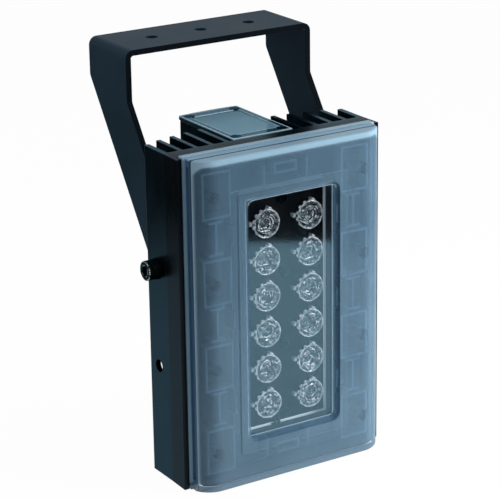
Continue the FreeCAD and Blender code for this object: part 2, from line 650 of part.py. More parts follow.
def border_frame():
    """White moulding behind the frosted border: a plate with pads, ribs and the well round the lenses."""
    plate = slab(FRAME_WIDTH, FRAME_HEIGHT, FRAME_CORNER, FRAME_PLATE_Y, BASE_FRONT_Y)
    well = slab(WELL_WIDTH + 2 * WELL_WALL, WELL_HEIGHT + 2 * WELL_WALL, WELL_WALL,
                WINDOW_INNER_Y + WELL_END_GAP, BASE_FRONT_Y)
    parts = [plate, well]
    pad_y = (COVER_INNER_Y + PAD_TOP_GAP, FRAME_PLATE_Y + SINK)
    rib_y = (COVER_INNER_Y + I_RIB_TOP_GAP, FRAME_PLATE_Y + SINK)
    for index in range(PAD_COUNT):
        z = MID_Z + (index - (PAD_COUNT - 1) / 2) * PAD_PITCH
        x = (PAD_CENTRE_X - PAD_WIDTH / 2, PAD_CENTRE_X + PAD_WIDTH / 2)
        parts += both_sides(open_box(x, (z - PAD_HEIGHT / 2, z + PAD_HEIGHT / 2), pad_y))
    for index in range(PAD_COUNT - 1):
        z = MID_Z + (index - (PAD_COUNT - 2) / 2) * PAD_PITCH
        limits = (z - I_RIB_HEIGHT / 2, z + I_RIB_HEIGHT / 2)
        parts += both_sides(span_box((PAD_CENTRE_X - RIB / 2, PAD_CENTRE_X + RIB / 2), rib_y, limits))
        bar = (PAD_CENTRE_X - I_RIB_WIDTH / 2, PAD_CENTRE_X + I_RIB_WIDTH / 2)
        for low in (limits[0], limits[1] - RIB):
            parts += both_sides(span_box(bar, rib_y, (low, low + RIB)))
        link = WELL_WIDTH / 2 + WELL_WALL + LINK_RIB_OFFSET
        link_z = (z - LINK_RIB_HEIGHT / 2, z + LINK_RIB_HEIGHT / 2)
        parts += both_sides(span_box((link, link + RIB), rib_y, link_z))
    near = WELL_HEIGHT / 2 + WELL_WALL + LINK_RIB_OFFSET
    far = FRAME_HEIGHT / 2 - END_RIB_GAP
    for side in (-1, 1):
        rib_z = (MID_Z + side * near, MID_Z + side * far)
        parts += both_sides(span_box((END_RIB_X, END_RIB_X + RIB), rib_y, rib_z))
        pad_z = sorted((MID_Z + side * (far - END_PAD_HEIGHT), MID_Z + side * far))
        parts.append(open_box((-END_PAD_WIDTH / 2, END_PAD_WIDTH / 2), pad_z, rib_y))
    frame = fuse_all(parts)

    opening = slab(WELL_WIDTH, WELL_HEIGHT, 0, WINDOW_INNER_Y - THROUGH, BASE_FRONT_Y + THROUGH)
    holes = [opening]
    for x, z in cover_screw_places():
        hole_y = (pad_y[0] - THROUGH, BASE_FRONT_Y + THROUGH)
        holes.append(rod_along_y(BOSS_RADIUS + BOSS_HOLE_CLEARANCE, x, z, hole_y))
    reach = LEAD_SPACING / 2 + LEAD_RADIUS + LEAD_NOTCH_ROOM
    notch_y = (BOARD_FRONT_Y - 2 * LEAD_RADIUS - LEAD_NOTCH_ROOM, BASE_FRONT_Y + THROUGH)
    notch_z = (LEAD_Z - LEAD_HOLE / 2, MID_Z - WELL_HEIGHT / 2 + THROUGH)
    holes.append(span_box((LEAD_X - reach, LEAD_X + reach), notch_y, notch_z))
    return cut_all(frame, holes)


def led_board():
    width = WELL_WIDTH - 2 * BOARD_EDGE_GAP
    height = WELL_HEIGHT - 2 * BOARD_EDGE_GAP
    board = slab(width, height, 0, BOARD_FRONT_Y, BED_FRONT_Y)
    holes = []
    for x, z in board_screw_places():
        hole_y = (BOARD_FRONT_Y - THROUGH, BED_FRONT_Y + THROUGH)
        holes.append(rod_along_y(SMALL_SCREW / 2 + CLEARANCE_HOLE, x, z, hole_y))
    return cut_all(board, holes)


def led_emitter(x, z):
    """Power LED: a square base with a low silicone dome."""
    half = LED_BASE / 2
    top = BOARD_FRONT_Y - LED_BASE_HEIGHT
    base = span_box((x - half, x + half), (top, BOARD_FRONT_Y), (z - half, z + half))
    dome = Part.makeSphere(LED_DOME_RADIUS, Vector(x, top, z), -AXIS_Y, 0, 90, 360)
    return base.fuse(dome)


def led_optic(x, z):
    """Moulded collimator turned about its axis, standing on three tabs."""
    rim = OPTIC_RADIUS
    top = OPTIC_HEIGHT
    shoulder = top - OPTIC_RIM
    profile = [
        (OPTIC_POCKET_RADIUS, OPTIC_FOOT_GAP),
        (OPTIC_THROAT, OPTIC_FOOT_GAP),
        (OPTIC_WAIST_RADIUS, OPTIC_WAIST_HEIGHT),
        (rim - OPTIC_RIM_WIDTH, shoulder),
        (rim, shoulder),
        (rim, top),
        (rim - OPTIC_RIM_WIDTH, top),
        (rim - OPTIC_RIM_WIDTH - OPTIC_FACE_RECESS, top - OPTIC_FACE_RECESS),
        (OPTIC_RING_RADIUS, top - OPTIC_FACE_RECESS),
        (OPTIC_RING_RADIUS - OPTIC_FACE_RECESS, top),
        (0, top),
        (0, OPTIC_FOOT_GAP + OPTIC_POCKET_DEPTH),
        (OPTIC_POCKET_RADIUS, OPTIC_FOOT_GAP + OPTIC_POCKET_WALL),
    ]
    points = [Vector(radius, -height, 0) for radius, height in profile]
    face = Part.Face(Part.makePolygon(points + points[:1]))
    lens = face.revolve(Vector(0, 0, 0), AXIS_Y, 360)
    tabs = []
    for index in range(OPTIC_TAB_COUNT):
        tab = span_box((-rim - OPTIC_TAB_REACH, -rim + OPTIC_RIM_WIDTH), (OPTIC_TAB_STEP - top, 0),
                       (-OPTIC_TAB_WIDTH / 2, OPTIC_TAB_WIDTH / 2))
        tab.rotate(Vector(0, 0, 0), AXIS_Y, index * 360 / OPTIC_TAB_COUNT)
        tabs.append(tab)
    optic = fuse_all([lens] + tabs)
    optic.translate(Vector(x, BOARD_FRONT_Y, z))
    return optic


def pan_screw(seat, way, length):
    """Pan head screw: the head sits on the seat and the shank points along the way."""
    head_end = seat - way * SMALL_HEAD_HEIGHT
    head = rod(SMALL_HEAD / 2, head_end, seat)
    head = head.makeChamfer(SMALL_HEAD_EDGE, edges_in_plane(head, way, head_end.dot(way)))
    shank = rod(SMALL_SCREW / 2, seat - way * SINK, seat + way * length)
    recess = rod(SMALL_RECESS / 2, head_end - way * THROUGH, head_end + way * SMALL_RECESS_DEPTH)
    return head.fuse(shank).cut(recess)


def cover_screws():
    return [pan_screw(Vector(x, BASE_BACK_Y, z), -AXIS_Y, COVER_SCREW_LENGTH)
            for x, z in cover_screw_places()]


def board_screws():
    return [pan_screw(Vector(x, BOARD_FRONT_Y, z), AXIS_Y, BOARD_SCREW_LENGTH)
            for x, z in board_screw_places()]


def housing_screws():
    return [countersunk_screw(x, z, 0) for x, z in housing_screw_places()]


def rear_housing():
    """Rectangular tube with screw posts in its corners, and rails above the gland for the supply board."""
    x = HOUSING_WIDTH / 2
    z = (HOUSING_END, BODY_HEIGHT - HOUSING_END)
    tube = span_box((-x, x), (BASE_BACK_Y, HOUSING_BACK_Y), z)
    tube = round_uprights(tube, HOUSING_CORNER)
    inside = span_box((-HOUSING_INNER_X, HOUSING_INNER_X), (HOUSING_FRONT_INNER_Y, HOUSING_BACK_INNER_Y), z)
    tube = tube.cut(inside)
    parts = [tube]
    holes = []
    for px, py in cap_screw_places():
        post = rod(CAP_POST_RADIUS, Vector(px, py, z[0]), Vector(px, py, z[1]))
        side = math.copysign(1, px)
        web_y = (py - CAP_POST_WEB / 2, py + CAP_POST_WEB / 2)
        web = span_box((px, side * (HOUSING_INNER_X + SINK)), web_y, z)
        parts += [post.common(inside), web]
        for end, way in ((z[0], 1), (z[1], -1)):
            start = Vector(px, py, end - way * THROUGH)
            pocket_end = Vector(px, py, end + way * SCREW_POCKET_DEPTH)
            holes.append(rod(SMALL_SCREW / 2 + THREAD_FIT, start, pocket_end))
    half_board = BOARD_THICKNESS / 2 + BOARD_RAIL_GAP
    for side in (-1, 1):
        near = DRIVER_BOARD_X + side * half_board
        rail_x = sorted((near, near + side * BOARD_RAIL))
        rail_z = (DRIVER_BOARD_LOW - BOARD_RAIL_LEAD_IN, z[1])
        front = (HOUSING_FRONT_INNER_Y - SINK, HOUSING_FRONT_INNER_Y + BOARD_RAIL_RISE)
        back = (HOUSING_BACK_INNER_Y - BOARD_RAIL_RISE, HOUSING_BACK_INNER_Y + SINK)
        parts += [span_box(rail_x, front, rail_z), span_box(rail_x, back, rail_z)]
    rib = (HOUSING_FRONT_INNER_Y - SINK, HOUSING_FRONT_INNER_Y + MOUNT_RIB_RISE)
    rib_low = MID_Z - HOUSING_SCREW_PITCH - MOUNT_RIB_WIDTH
    parts.append(span_box((-MOUNT_RIB_WIDTH / 2, MOUNT_RIB_WIDTH / 2), rib, (rib_low, z[1])))
    housing = fuse_all(parts)
    front_wall_y = (BASE_BACK_Y - THROUGH, rib[1] + THROUGH)
    for sx, sz in housing_screw_places():
        holes.append(rod_along_y(HOUSING_SCREW / 2 + THREAD_FIT, sx, sz, front_wall_y))
    holes.append(rod_along_y(LEAD_HOLE / 2, LEAD_X, LEAD_Z, front_wall_y))
    back_wall_y = (HOUSING_BACK_INNER_Y - THROUGH, HOUSING_BACK_Y + THROUGH)
    holes.append(rod_along_y(GLAND_THREAD / 2 + CLEARANCE_HOLE, 0, GLAND_Z, back_wall_y))
    return cut_all(housing, holes)


def cap_outline_plate(low, high):
    """Plate over the housing's end, with a slightly bowed back edge."""
    x = CAP_WIDTH / 2
    front = BASE_BACK_Y + CAP_FRONT_GAP
    back = HOUSING_BACK_Y + CAP_BACK_OVERHANG - CAP_BOW
    corners = [Vector(-x, back, low), Vector(-x, front, low), Vector(x, front, low), Vector(x, back, low)]
    edges = [Part.LineSegment(a, b).toShape() for a, b in zip(corners, corners[1:])]
    edges.append(Part.Arc(corners[3], Vector(0, back + CAP_BOW, low), corners[0]).toShape())
    return Part.Face(Part.Wire(edges)).extrude(Vector(0, 0, high - low))


def cap_holes(plate, outer_z, inner_z):
    """Countersunk holes for the cap's four screws."""
    holes = []
    way = Vector(0, 0, math.copysign(1, inner_z - outer_z))
    for x, y in cap_screw_places():
        holes.append(cap_screw_shape(Vector(x, y, outer_z), way, CLEARANCE_HOLE, 2 * CAP_THICKNESS))
    return cut_all(plate, holes)


def cap_screw_shape(seat, way, clearance, length):
    radius = SMALL_SCREW / 2 + clearance
    head = SMALL_HEAD / 2 + clearance
    cone = Part.makeCone(head, radius, head - radius, seat, way)
    return rod(radius, seat, seat + way * length).fuse(cone)


def top_cap():
    """Clear cap with a sunk panel, so the light sensor under it sees the sky."""
    low = BODY_HEIGHT - CAP_THICKNESS
    plate = cap_outline_plate(low, BODY_HEIGHT)
    x = CAP_WIDTH / 2 - CAP_PANEL_BORDER
    front = BASE_BACK_Y + CAP_FRONT_GAP + 2 * CAP_PANEL_BORDER
    back = HOUSING_BACK_Y - 2 * CAP_PANEL_BORDER
    panel = span_box((-x, x), (front, back), (BODY_HEIGHT - CAP_PANEL_RECESS, BODY_HEIGHT + THROUGH))
    panel = round_uprights(panel, CAP_PANEL_CORNER)
    return cap_holes(plate.cut(panel), BODY_HEIGHT, low)


def bottom_cap():
    return cap_holes(cap_outline_plate(0, CAP_THICKNESS), 0, CAP_THICKNESS)


def cap_gasket(low):
    """Flat seal that follows the housing's wall and screw posts."""
    x = HOUSING_WIDTH / 2 - CAP_GASKET_INSET
    y = (BASE_BACK_Y + CAP_FRONT_GAP + CAP_GASKET_INSET, HOUSING_BACK_Y - CAP_BOW + CAP_GASKET_INSET)
    through_z = (low - THROUGH, low + CAP_GASKET + THROUGH)
    outer = span_box((-x, x), y, (low, low + CAP_GASKET))
    inner_y = (y[0] + HOUSING_WALL, HOUSING_BACK_INNER_Y)
    seal = outer.cut(span_box((-HOUSING_INNER_X, HOUSING_INNER_X), inner_y, through_z))
    pads = []
    holes = []
    for px, py in cap_screw_places():
        pads.append(rod(CAP_POST_RADIUS, Vector(px, py, low), Vector(px, py, low + CAP_GASKET)).common(outer))
        radius = SMALL_SCREW / 2 + CLEARANCE_HOLE
        holes.append(rod(radius, Vector(px, py, through_z[0]), Vector(px, py, through_z[1])))
    return cut_all(fuse_all([seal] + pads), holes)


def cap_screws(outer_z, way):
    return [cap_screw_shape(Vector(x, y, outer_z), way, 0, CAP_SCREW_LENGTH) for x, y in cap_screw_places()]


def on_gland_axis(y):
    return Vector(0, y, GLAND_Z)


def gland_body():
    """Threaded tube through the wall, with a hexagon outside and a spigot for the dome nut."""
    start = HOUSING_BACK_INNER_Y - GLAND_LOCKNUT - GLAND_THREAD_END
    collar = HOUSING_BACK_Y + GLAND_COLLAR
    spigot = collar + GLAND_SPIGOT_LENGTH
    thread = rod(GLAND_THREAD / 2, on_gland_axis(start), on_gland_axis(HOUSING_BACK_Y))
    hexagonal = hexagon(GLAND_HEX, on_gland_axis(HOUSING_BACK_Y), on_gland_axis(collar))
    shape = fuse_all([thread, hexagonal, rod(GLAND_SPIGOT / 2, on_gland_axis(collar), on_gland_axis(spigot))])
    bore = rod(GLAND_BORE / 2, on_gland_axis(start - THROUGH), on_gland_axis(spigot + THROUGH))
    return shape.cut(bore)


def gland_nut():
    """Dome nut: a hexagon that narrows to a rounded mouth."""
    start = HOUSING_BACK_Y + GLAND_COLLAR
    hex_end = start + GLAND_NUT_HEX_LENGTH
    end = start + GLAND_NUT_LENGTH
    dome = Part.makeCone(GLAND_HEX / 2, GLAND_NUT_TIP / 2, end - hex_end, on_gland_axis(hex_end), AXIS_Y)
    dome = dome.makeFillet(GLAND_NUT_EDGE, edges_in_plane(dome, AXIS_Y, end))
    nut = fuse_all([hexagon(GLAND_HEX, on_gland_axis(start), on_gland_axis(hex_end)), dome])
    seal_start = start + GLAND_SPIGOT_LENGTH
    seal_end = seal_start + GLAND_SEAL_LENGTH
    rooms = [
        rod(GLAND_SPIGOT / 2 + GLAND_FIT, on_gland_axis(start - THROUGH), on_gland_axis(seal_start)),
        rod(GLAND_SEAL_OUTER / 2 + GLAND_FIT, on_gland_axis(start), on_gland_axis(seal_end)),
        rod(GLAND_BORE / 2, on_gland_axis(start), on_gland_axis(end + THROUGH)),
    ]
    return cut_all(nut, rooms)


def gland_seal():
    start = on_gland_axis(HOUSING_BACK_Y + GLAND_COLLAR + GLAND_SPIGOT_LENGTH)
    return ring(GLAND_SEAL_OUTER / 2, GLAND_SEAL_BORE / 2, start, start + AXIS_Y * GLAND_SEAL_LENGTH)


def gland_locknut():
    end = on_gland_axis(HOUSING_BACK_INNER_Y)
    start = end - AXIS_Y * GLAND_LOCKNUT
    nut = hexagon(GLAND_HEX, start, end)
    return nut.cut(rod(GLAND_THREAD / 2 + THREAD_FIT, start - AXIS_Y * THROUGH, end + AXIS_Y * THROUGH))


def driver_board():
    x = (DRIVER_BOARD_X - BOARD_THICKNESS / 2, DRIVER_BOARD_X + BOARD_THICKNESS / 2)
    y = (HOUSING_FRONT_INNER_Y + DRIVER_BOARD_END_GAP, HOUSING_BACK_INNER_Y - DRIVER_BOARD_END_GAP)
    return span_box(x, y, (DRIVER_BOARD_LOW, SENSOR_BOARD_Z))


def on_driver_board(size, y, z):
    """Block standing on the supply board, centred at y and z."""
    face = DRIVER_BOARD_X + BOARD_THICKNESS / 2
    out, deep, tall = size
    return span_box((face, face + out), (y - deep / 2, y + deep / 2), (z - tall / 2, z + tall / 2))


def housing_mid_y():
    return (HOUSING_FRONT_INNER_Y + MOUNT_RIB_RISE + HOUSING_BACK_INNER_Y) / 2


def driver_transformer():
    """Wound core: a square bobbin with the winding standing out on its face."""
    block = on_driver_board(TRANSFORMER, housing_mid_y(), TRANSFORMER_Z)
    winding = round_uprights(on_driver_board(WINDING, housing_mid_y(), TRANSFORMER_Z), WINDING_CORNER)
    return block.fuse(winding).removeSplitter()


def driver_capacitors():
    face = DRIVER_BOARD_X + BOARD_THICKNESS / 2
    cans = []
    for z in CAPACITOR_Z:
        start = Vector(face, housing_mid_y(), z)
        end = start + AXIS_X * CAPACITOR_LENGTH
        can = rod(CAPACITOR_RADIUS, start, end)
        cans.append(can.makeChamfer(CAPACITOR_EDGE, edges_in_plane(can, AXIS_X, end.x)))
    return cans


def terminal_block():
    """Screw terminals for the supply cable, one way beside the other."""
    y = housing_mid_y()
    z = DRIVER_BOARD_LOW + TERMINAL_BLOCK[2]
    block = on_driver_board(TERMINAL_BLOCK, y, z)
    face = DRIVER_BOARD_X + BOARD_THICKNESS / 2 + TERMINAL_BLOCK[0]
    low = z - TERMINAL_BLOCK[2] / 2
    holes = []
    for way in range(TERMINAL_WAYS):
        hole_y = y + (way - (TERMINAL_WAYS - 1) / 2) * TERMINAL_BLOCK[1] / TERMINAL_WAYS
        screw = Vector(face - TERMINAL_SCREW_DEPTH, hole_y, z + TERMINAL_SCREW_OFFSET)
        holes.append(rod(TERMINAL_SCREW / 2, screw, Vector(face + THROUGH, hole_y, screw.z)))
        entry = Vector(face - TERMINAL_ENTRY_INSET, hole_y, low - THROUGH)
        holes.append(rod(TERMINAL_ENTRY / 2, entry, Vector(entry.x, hole_y, low + TERMINAL_ENTRY_DEPTH)))
    return cut_all(block, holes)


def sensor_board():
    y = housing_mid_y()
    wide, deep, thick = SENSOR_BOARD
    z = (SENSOR_BOARD_Z, SENSOR_BOARD_Z + thick)
    return span_box((-wide / 2, wide / 2), (y - deep / 2, y + deep / 2), z)


def light_sensor():
    start = Vector(0, housing_mid_y(), SENSOR_BOARD_Z + SENSOR_BOARD[2])
    can = rod(SENSOR_RADIUS, start, start + AXIS_Z * SENSOR_HEIGHT)
    return can.makeChamfer(SENSOR_EDGE, edges_in_plane(can, AXIS_Z, start.z + SENSOR_HEIGHT))


def led_leads():
    """Two leads from the supply board, through the base plate and up to the board's lower edge."""
    leads = []
    for side in (-1, 1):
        x = LEAD_X + side * LEAD_SPACING / 2
        y_back = HOUSING_FRONT_INNER_Y + LEAD_BEHIND_WALL + side * LEAD_SPACING / 2
        y_front = BOARD_FRONT_Y - LEAD_RADIUS - LEAD_AIR
        start = Vector(DRIVER_BOARD_X + BOARD_THICKNESS / 2, y_back, DRIVER_BOARD_LOW + LEAD_ABOVE_BOARD_END)
        route = [
            start,
            Vector(x, y_back, start.z),
            Vector(x, y_back, LEAD_Z),
            Vector(x, y_front, LEAD_Z),
            Vector(x, y_front, MID_Z - WELL_HEIGHT / 2 + LEAD_RUN_UP_BOARD),
        ]
        leads.append(tube_along(route, LEAD_RADIUS, LEAD_BEND))
    return leads


def lead_grommet():
    front = Vector(LEAD_X, BASE_FRONT_Y, LEAD_Z)
    back = Vector(LEAD_X, HOUSING_FRONT_INNER_Y, LEAD_Z)
    sleeve = rod(LEAD_HOLE / 2, front, back)
    flange = rod(GROMMET_FLANGE / 2, back, back + AXIS_Y * GROMMET_FLANGE_THICKNESS)
    bore_y = (BASE_FRONT_Y - THROUGH, back.y + GROMMET_FLANGE_THICKNESS + THROUGH)
    return fuse_all([sleeve, flange]).cut(rod_along_y(GROMMET_BORE / 2, LEAD_X, LEAD_Z, bore_y))


def pivot_point(x):
    return Vector(x, PIVOT_Y, PIVOT_Z)


def pivot_screws():
    """Socket head screws that clamp the bracket's arms to the side walls."""
    seat = BODY_WIDTH / 2 + LOCK_WASHER_THICKNESS
    tip = PIVOT_NUT_INNER_X - PIVOT_SCREW_TIP
    head_end = seat + PIVOT_HEAD_HEIGHT
    head = rod(PIVOT_HEAD / 2, pivot_point(seat), pivot_point(head_end))
    head = head.makeFillet(PIVOT_HEAD_EDGE, edges_in_plane(head, AXIS_X, head_end))
    shank = rod(PIVOT_SCREW / 2, pivot_point(tip), pivot_point(seat + SINK))
    socket_bottom = pivot_point(head_end - PIVOT_SOCKET_DEPTH)
    socket = hexagon(PIVOT_SOCKET, socket_bottom, pivot_point(head_end + THROUGH))
    return both_sides(head.fuse(shank).removeSplitter().cut(socket))


def lock_washers():
    start = BODY_WIDTH / 2
    washer = ring(LOCK_WASHER / 2, PIVOT_SCREW / 2 + CLEARANCE_HOLE, pivot_point(start),
                  pivot_point(start + LOCK_WASHER_THICKNESS))
    return both_sides(washer)


def friction_washers():
    start = ARM_OUTER_X + WASHER_AIR
    washer = ring(FRICTION_WASHER / 2, PIVOT_SCREW / 2 + RUNNING_FIT, pivot_point(start),
                  pivot_point(start + FRICTION_WASHER_THICKNESS))
    return both_sides(washer)


def pivot_nuts():
    """Flanged nuts pressed into the arms; the screws turn in them with a running fit in place of a thread."""
    sleeve = rod(PIVOT_NUT_OUTER / 2, pivot_point(PIVOT_NUT_INNER_X), pivot_point(ARM_OUTER_X))
    flange = rod(PIVOT_NUT_FLANGE / 2, pivot_point(PIVOT_NUT_INNER_X), pivot_point(ARM_INNER_X))
    bore = rod(PIVOT_SCREW / 2 + RUNNING_FIT, pivot_point(PIVOT_NUT_INNER_X - THROUGH),
               pivot_point(ARM_OUTER_X + THROUGH))
    return both_sides(fuse_all([sleeve, flange]).cut(bore))


def arm_outline():
    """Side view of one arm as (y, z) points: the strap's edges slant forward, then run to the pivot."""
    slant = math.radians(ARM_SLANT)
    normal = (math.cos(slant), -math.sin(slant))
    front_offset = ARM_WIDTH - ARM_BACK_OFFSET

    def on_edge(offset, y=None, z=None):
        """Point of a slanted edge at the given y or z; the offset is its distance behind the pivot."""
        if y is None:
            return (PIVOT_Y + (offset - (z - PIVOT_Z) * normal[1]) / normal[0], z)
        return (y, PIVOT_Z + (offset - (y - PIVOT_Y) * normal[0]) / normal[1])

    stop_y = PIVOT_Y - ARM_END_RADIUS
    back_y = STRAP_FRONT_Y + STRAP_WIDTH
    foot = (PIVOT_Y + ARM_BACK_OFFSET * normal[0], PIVOT_Z + ARM_BACK_OFFSET * normal[1])
    return [
        (STRAP_FRONT_Y, STRAP_TOP_Z - STRAP_BEND),
        on_edge(-front_offset, y=STRAP_FRONT_Y),
        on_edge(-front_offset, y=stop_y),
        (stop_y, PIVOT_Z),
        (PIVOT_Y, PIVOT_Z - ARM_END_RADIUS),
        foot,
        on_edge(ARM_BACK_OFFSET, y=back_y),
        (back_y, STRAP_TOP_Z - STRAP_BEND),
    ]


def round_top(shape, radius, top):
    """Fillet the two upper edges that run along y."""
    edges = [edge for edge in shape.Edges if is_along(edge, AXIS_Y)]
    return shape.makeFillet(radius, [edge for edge in edges if abs(edge.CenterOfMass.z - top) < SAME_PLACE])


def mounting_bracket():
    """One steel strap bent to a U: a drilled top plate and two arms that narrow to the pivots."""
    y = (STRAP_FRONT_Y, STRAP_FRONT_Y + STRAP_WIDTH)
    low = STRAP_TOP_Z - STRAP_BEND - SINK
    inner_top = STRAP_TOP_Z - STRAP_THICKNESS
    top = round_top(span_box((-ARM_OUTER_X, ARM_OUTER_X), y, (low, STRAP_TOP_Z)), STRAP_BEND, STRAP_TOP_Z)
    inside_y = (y[0] - THROUGH, y[1] + THROUGH)
    inside = span_box((-ARM_INNER_X, ARM_INNER_X), inside_y, (low - THROUGH, inner_top))
    inside = round_top(inside, STRAP_BEND - STRAP_THICKNESS, inner_top)
    arm = prism(arm_outline(), ARM_INNER_X, STRAP_THICKNESS)
    knees = [edge for edge in arm.Edges if is_along(edge, AXIS_X)
             and PIVOT_Z + ARM_END_RADIUS < edge.CenterOfMass.z < low - ARM_KNEE_RADIUS]
    arm = arm.makeFillet(ARM_KNEE_RADIUS, knees)
    end = rod(ARM_END_RADIUS, pivot_point(ARM_INNER_X), pivot_point(ARM_OUTER_X))
    arm = fuse_all([arm, end])
    strap = fuse_all([top.cut(inside)] + both_sides(arm))

    holes = both_sides(rod(PIVOT_NUT_OUTER / 2, pivot_point(ARM_INNER_X - THROUGH),
                           pivot_point(ARM_OUTER_X + THROUGH)))
    for index in range(STRAP_HOLE_COUNT):
        x = (index - (STRAP_HOLE_COUNT - 1) / 2) * STRAP_HOLE_PITCH
        centre = Vector(x, STRAP_FRONT_Y + STRAP_WIDTH / 2, inner_top - THROUGH)
        holes.append(rod(STRAP_HOLE / 2, centre, centre + AXIS_Z * (STRAP_THICKNESS + 2 * THROUGH)))
    return cut_all(strap, holes)


def build_nodes():
    """Every piece of the lamp by name; a group of like fasteners is a list of solids."""
    nodes = {
        "body_extrusion": body_extrusion(),
        "front_cover": front_cover(),
        "cover_gasket": cover_gasket(),
        "border_frame": border_frame(),
        "led_board": led_board(),
        "board_screws": board_screws(),
        "cover_screws": cover_screws(),
        "rear_housing": rear_housing(),
        "housing_screws": housing_screws(),
        "top_cap": top_cap(),
        "top_cap_gasket": cap_gasket(BODY_HEIGHT - HOUSING_END),
        "top_cap_screws": cap_screws(BODY_HEIGHT, -AXIS_Z),
        "bottom_cap": bottom_cap(),
        "bottom_cap_gasket": cap_gasket(CAP_THICKNESS),
        "bottom_cap_screws": cap_screws(0, AXIS_Z),
        "cable_gland": gland_body(),
        "gland_nut": gland_nut(),
        "gland_seal": gland_seal(),
        "gland_locknut": gland_locknut(),
        "driver_board": driver_board(),
        "driver_transformer": driver_transformer(),
        "driver_capacitors": driver_capacitors(),
        "terminal_block": terminal_block(),
        "sensor_board": sensor_board(),
        "light_sensor": light_sensor(),
        "led_leads": led_leads(),
        "lead_grommet": lead_grommet(),
        "pivot_screws": pivot_screws(),
        "lock_washers": lock_washers(),
        "friction_washers": friction_washers(),
        "mounting_bracket": mounting_bracket(),
        "pivot_nuts": pivot_nuts(),
    }
    for index, (x, z) in enumerate(led_places(), start=1):
        nodes["led_emitter_%02d" % index] = led_emitter(x, z)
        nodes["led_optic_%02d" % index] = led_optic(x, z)
    return nodes


def main():
    os.makedirs("parts", exist_ok=True)
    nodes = build_nodes()
    shapes = {}
    for name, piece in nodes.items():
        shapes[name] = Part.makeCompound(piece) if isinstance(piece, list) else piece
    limits = Part.makeCompound(list(shapes.values())).optimalBoundingBox(True, False)
    origin = Vector(0, (limits.YMin + limits.YMax) / 2, limits.ZMin)
    print("origin at y = %.3f, z = %.3f" % (origin.y, origin.z))
    for name, shape in shapes.items():
        shape.translate(-origin)
        shape.exportStep("parts/%s.step" % name)
        solids = shape.Solids
        print("%-20s %2d solids %10.1f mm3 %s" % (name, len(solids), shape.Volume, shape.isValid()))


main()
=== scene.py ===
"""White light illuminator: finishes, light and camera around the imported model."""
import json
import math

import bmesh
import bpy
from mathutils import Matrix, Vector


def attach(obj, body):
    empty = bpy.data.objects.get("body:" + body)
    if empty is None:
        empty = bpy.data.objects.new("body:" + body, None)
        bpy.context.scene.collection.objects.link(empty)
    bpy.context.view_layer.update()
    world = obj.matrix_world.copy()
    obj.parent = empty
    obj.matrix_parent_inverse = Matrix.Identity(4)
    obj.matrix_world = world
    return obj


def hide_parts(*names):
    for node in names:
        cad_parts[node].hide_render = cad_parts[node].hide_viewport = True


# Camera, fitted to the photo: angles in degrees, lengths in metres, lens and sensor in millimetres
CAMERA_YAW = 31.96
CAMERA_PITCH = 19.07
CAMERA_ROLL = 0.84
CAMERA_DISTANCE = 1.09015
CAMERA_TARGET = Vector((-0.01937, -0.04275, 0.12539))
CAMERA_LENS = 152.67
CAMERA_SENSOR = 36.0

# Light, at the strengths at which a colour renders about as it is written: each lamp's watts, size and
# place. The lamp that isn't mirrored would show in the window as a white patch
WORLD_LIGHT = 0.38
LAMPS = {
    "top": (6.0, 0.8, Vector((0.1, -0.1, 1.4))),
    "right": (4.5, 0.3, Vector((0.36, -0.27, 0.06))),
    "painted_glint": (1.8, 0.2, Vector((0.45, -0.50, 0.40))),
    "left": (1.2, 0.9, Vector((-1.1, -0.6, 0.5))),
    "spark": (0.9, 0.1, Vector((-0.35, -0.95, 0.95))),
}
NOT_MIRRORED = "right"
FLOOR_SIZE = 14.0
FLOOR_GLOW = 0.97

# Dark cards just over the floor, each with its size, centre and turn. The window card lies past the pale
# floor that the window's lower part mirrors. The wall card is what the left wall's upper end mirrors
CARD_LIFT = 0.001
WINDOW_CARD_SIZE = (1.4, 0.7)
WINDOW_CARD_TURN = math.radians(32.0)
WINDOW_CARD_EDGE = Vector((0.2, -0.367, CARD_LIFT))
WINDOW_CARD_WAY = Vector((math.sin(WINDOW_CARD_TURN), -math.cos(WINDOW_CARD_TURN), 0))
WINDOW_CARD_CENTRE = WINDOW_CARD_EDGE + WINDOW_CARD_WAY * WINDOW_CARD_SIZE[1] / 2
CARDS = (
    ("window_card", WINDOW_CARD_SIZE, WINDOW_CARD_CENTRE, WINDOW_CARD_TURN),
    ("wall_card", (0.7, 0.8), Vector((-0.45, 0.7, CARD_LIFT)), 0.0),
)

# Places and sizes below are in metres, and places are measured from the model's origin
MIDDLE = Vector((0.0, 0.0, 0.0904))

# Axes that an outline keeps when it is seen square
FROM_FRONT = Vector((1, 0, 1))
FROM_ABOVE = Vector((1, 1, 0))
FROM_SIDE = Vector((0, 1, 1))

# Cover: half sizes and corners of its outlines, and the depths and heights where it changes
RIM_HALF = Vector((0.0556, 0.0, 0.0883))
RIM_MIDDLE = Vector((0.0, 0.0, 0.0888))
RIM_CORNER = 0.005
RIDGE_HALF = Vector((0.0333, 0.0, 0.0722))
RIDGE_CORNER = 0.0014
RIDGE_LINE = 0.0008
POCKET_HALF = Vector((0.0286, 0.0, 0.0670))
POCKET_CORNER = 0.005
POCKET_LINE = 0.0007
WINDOW_HALF = Vector((0.0264, 0.0, 0.0648))
WINDOW_CORNER = 0.0012
# The line along the window's top edge is a painted highlight
SILL_HALF = Vector((0.0267, 0.0, 0.0652))
SILL_CORNER = 0.002
SILL_LINE = 0.0007
POCKET_FLOOR_Y = -0.05255
PARTING_Y = -0.0478
GROOVE_Y = -0.0466
FLANGE_Y = -0.0428
SOLE_Z = 0.0040
SILL_Z = 0.1535
LIP_Z = 0.1800
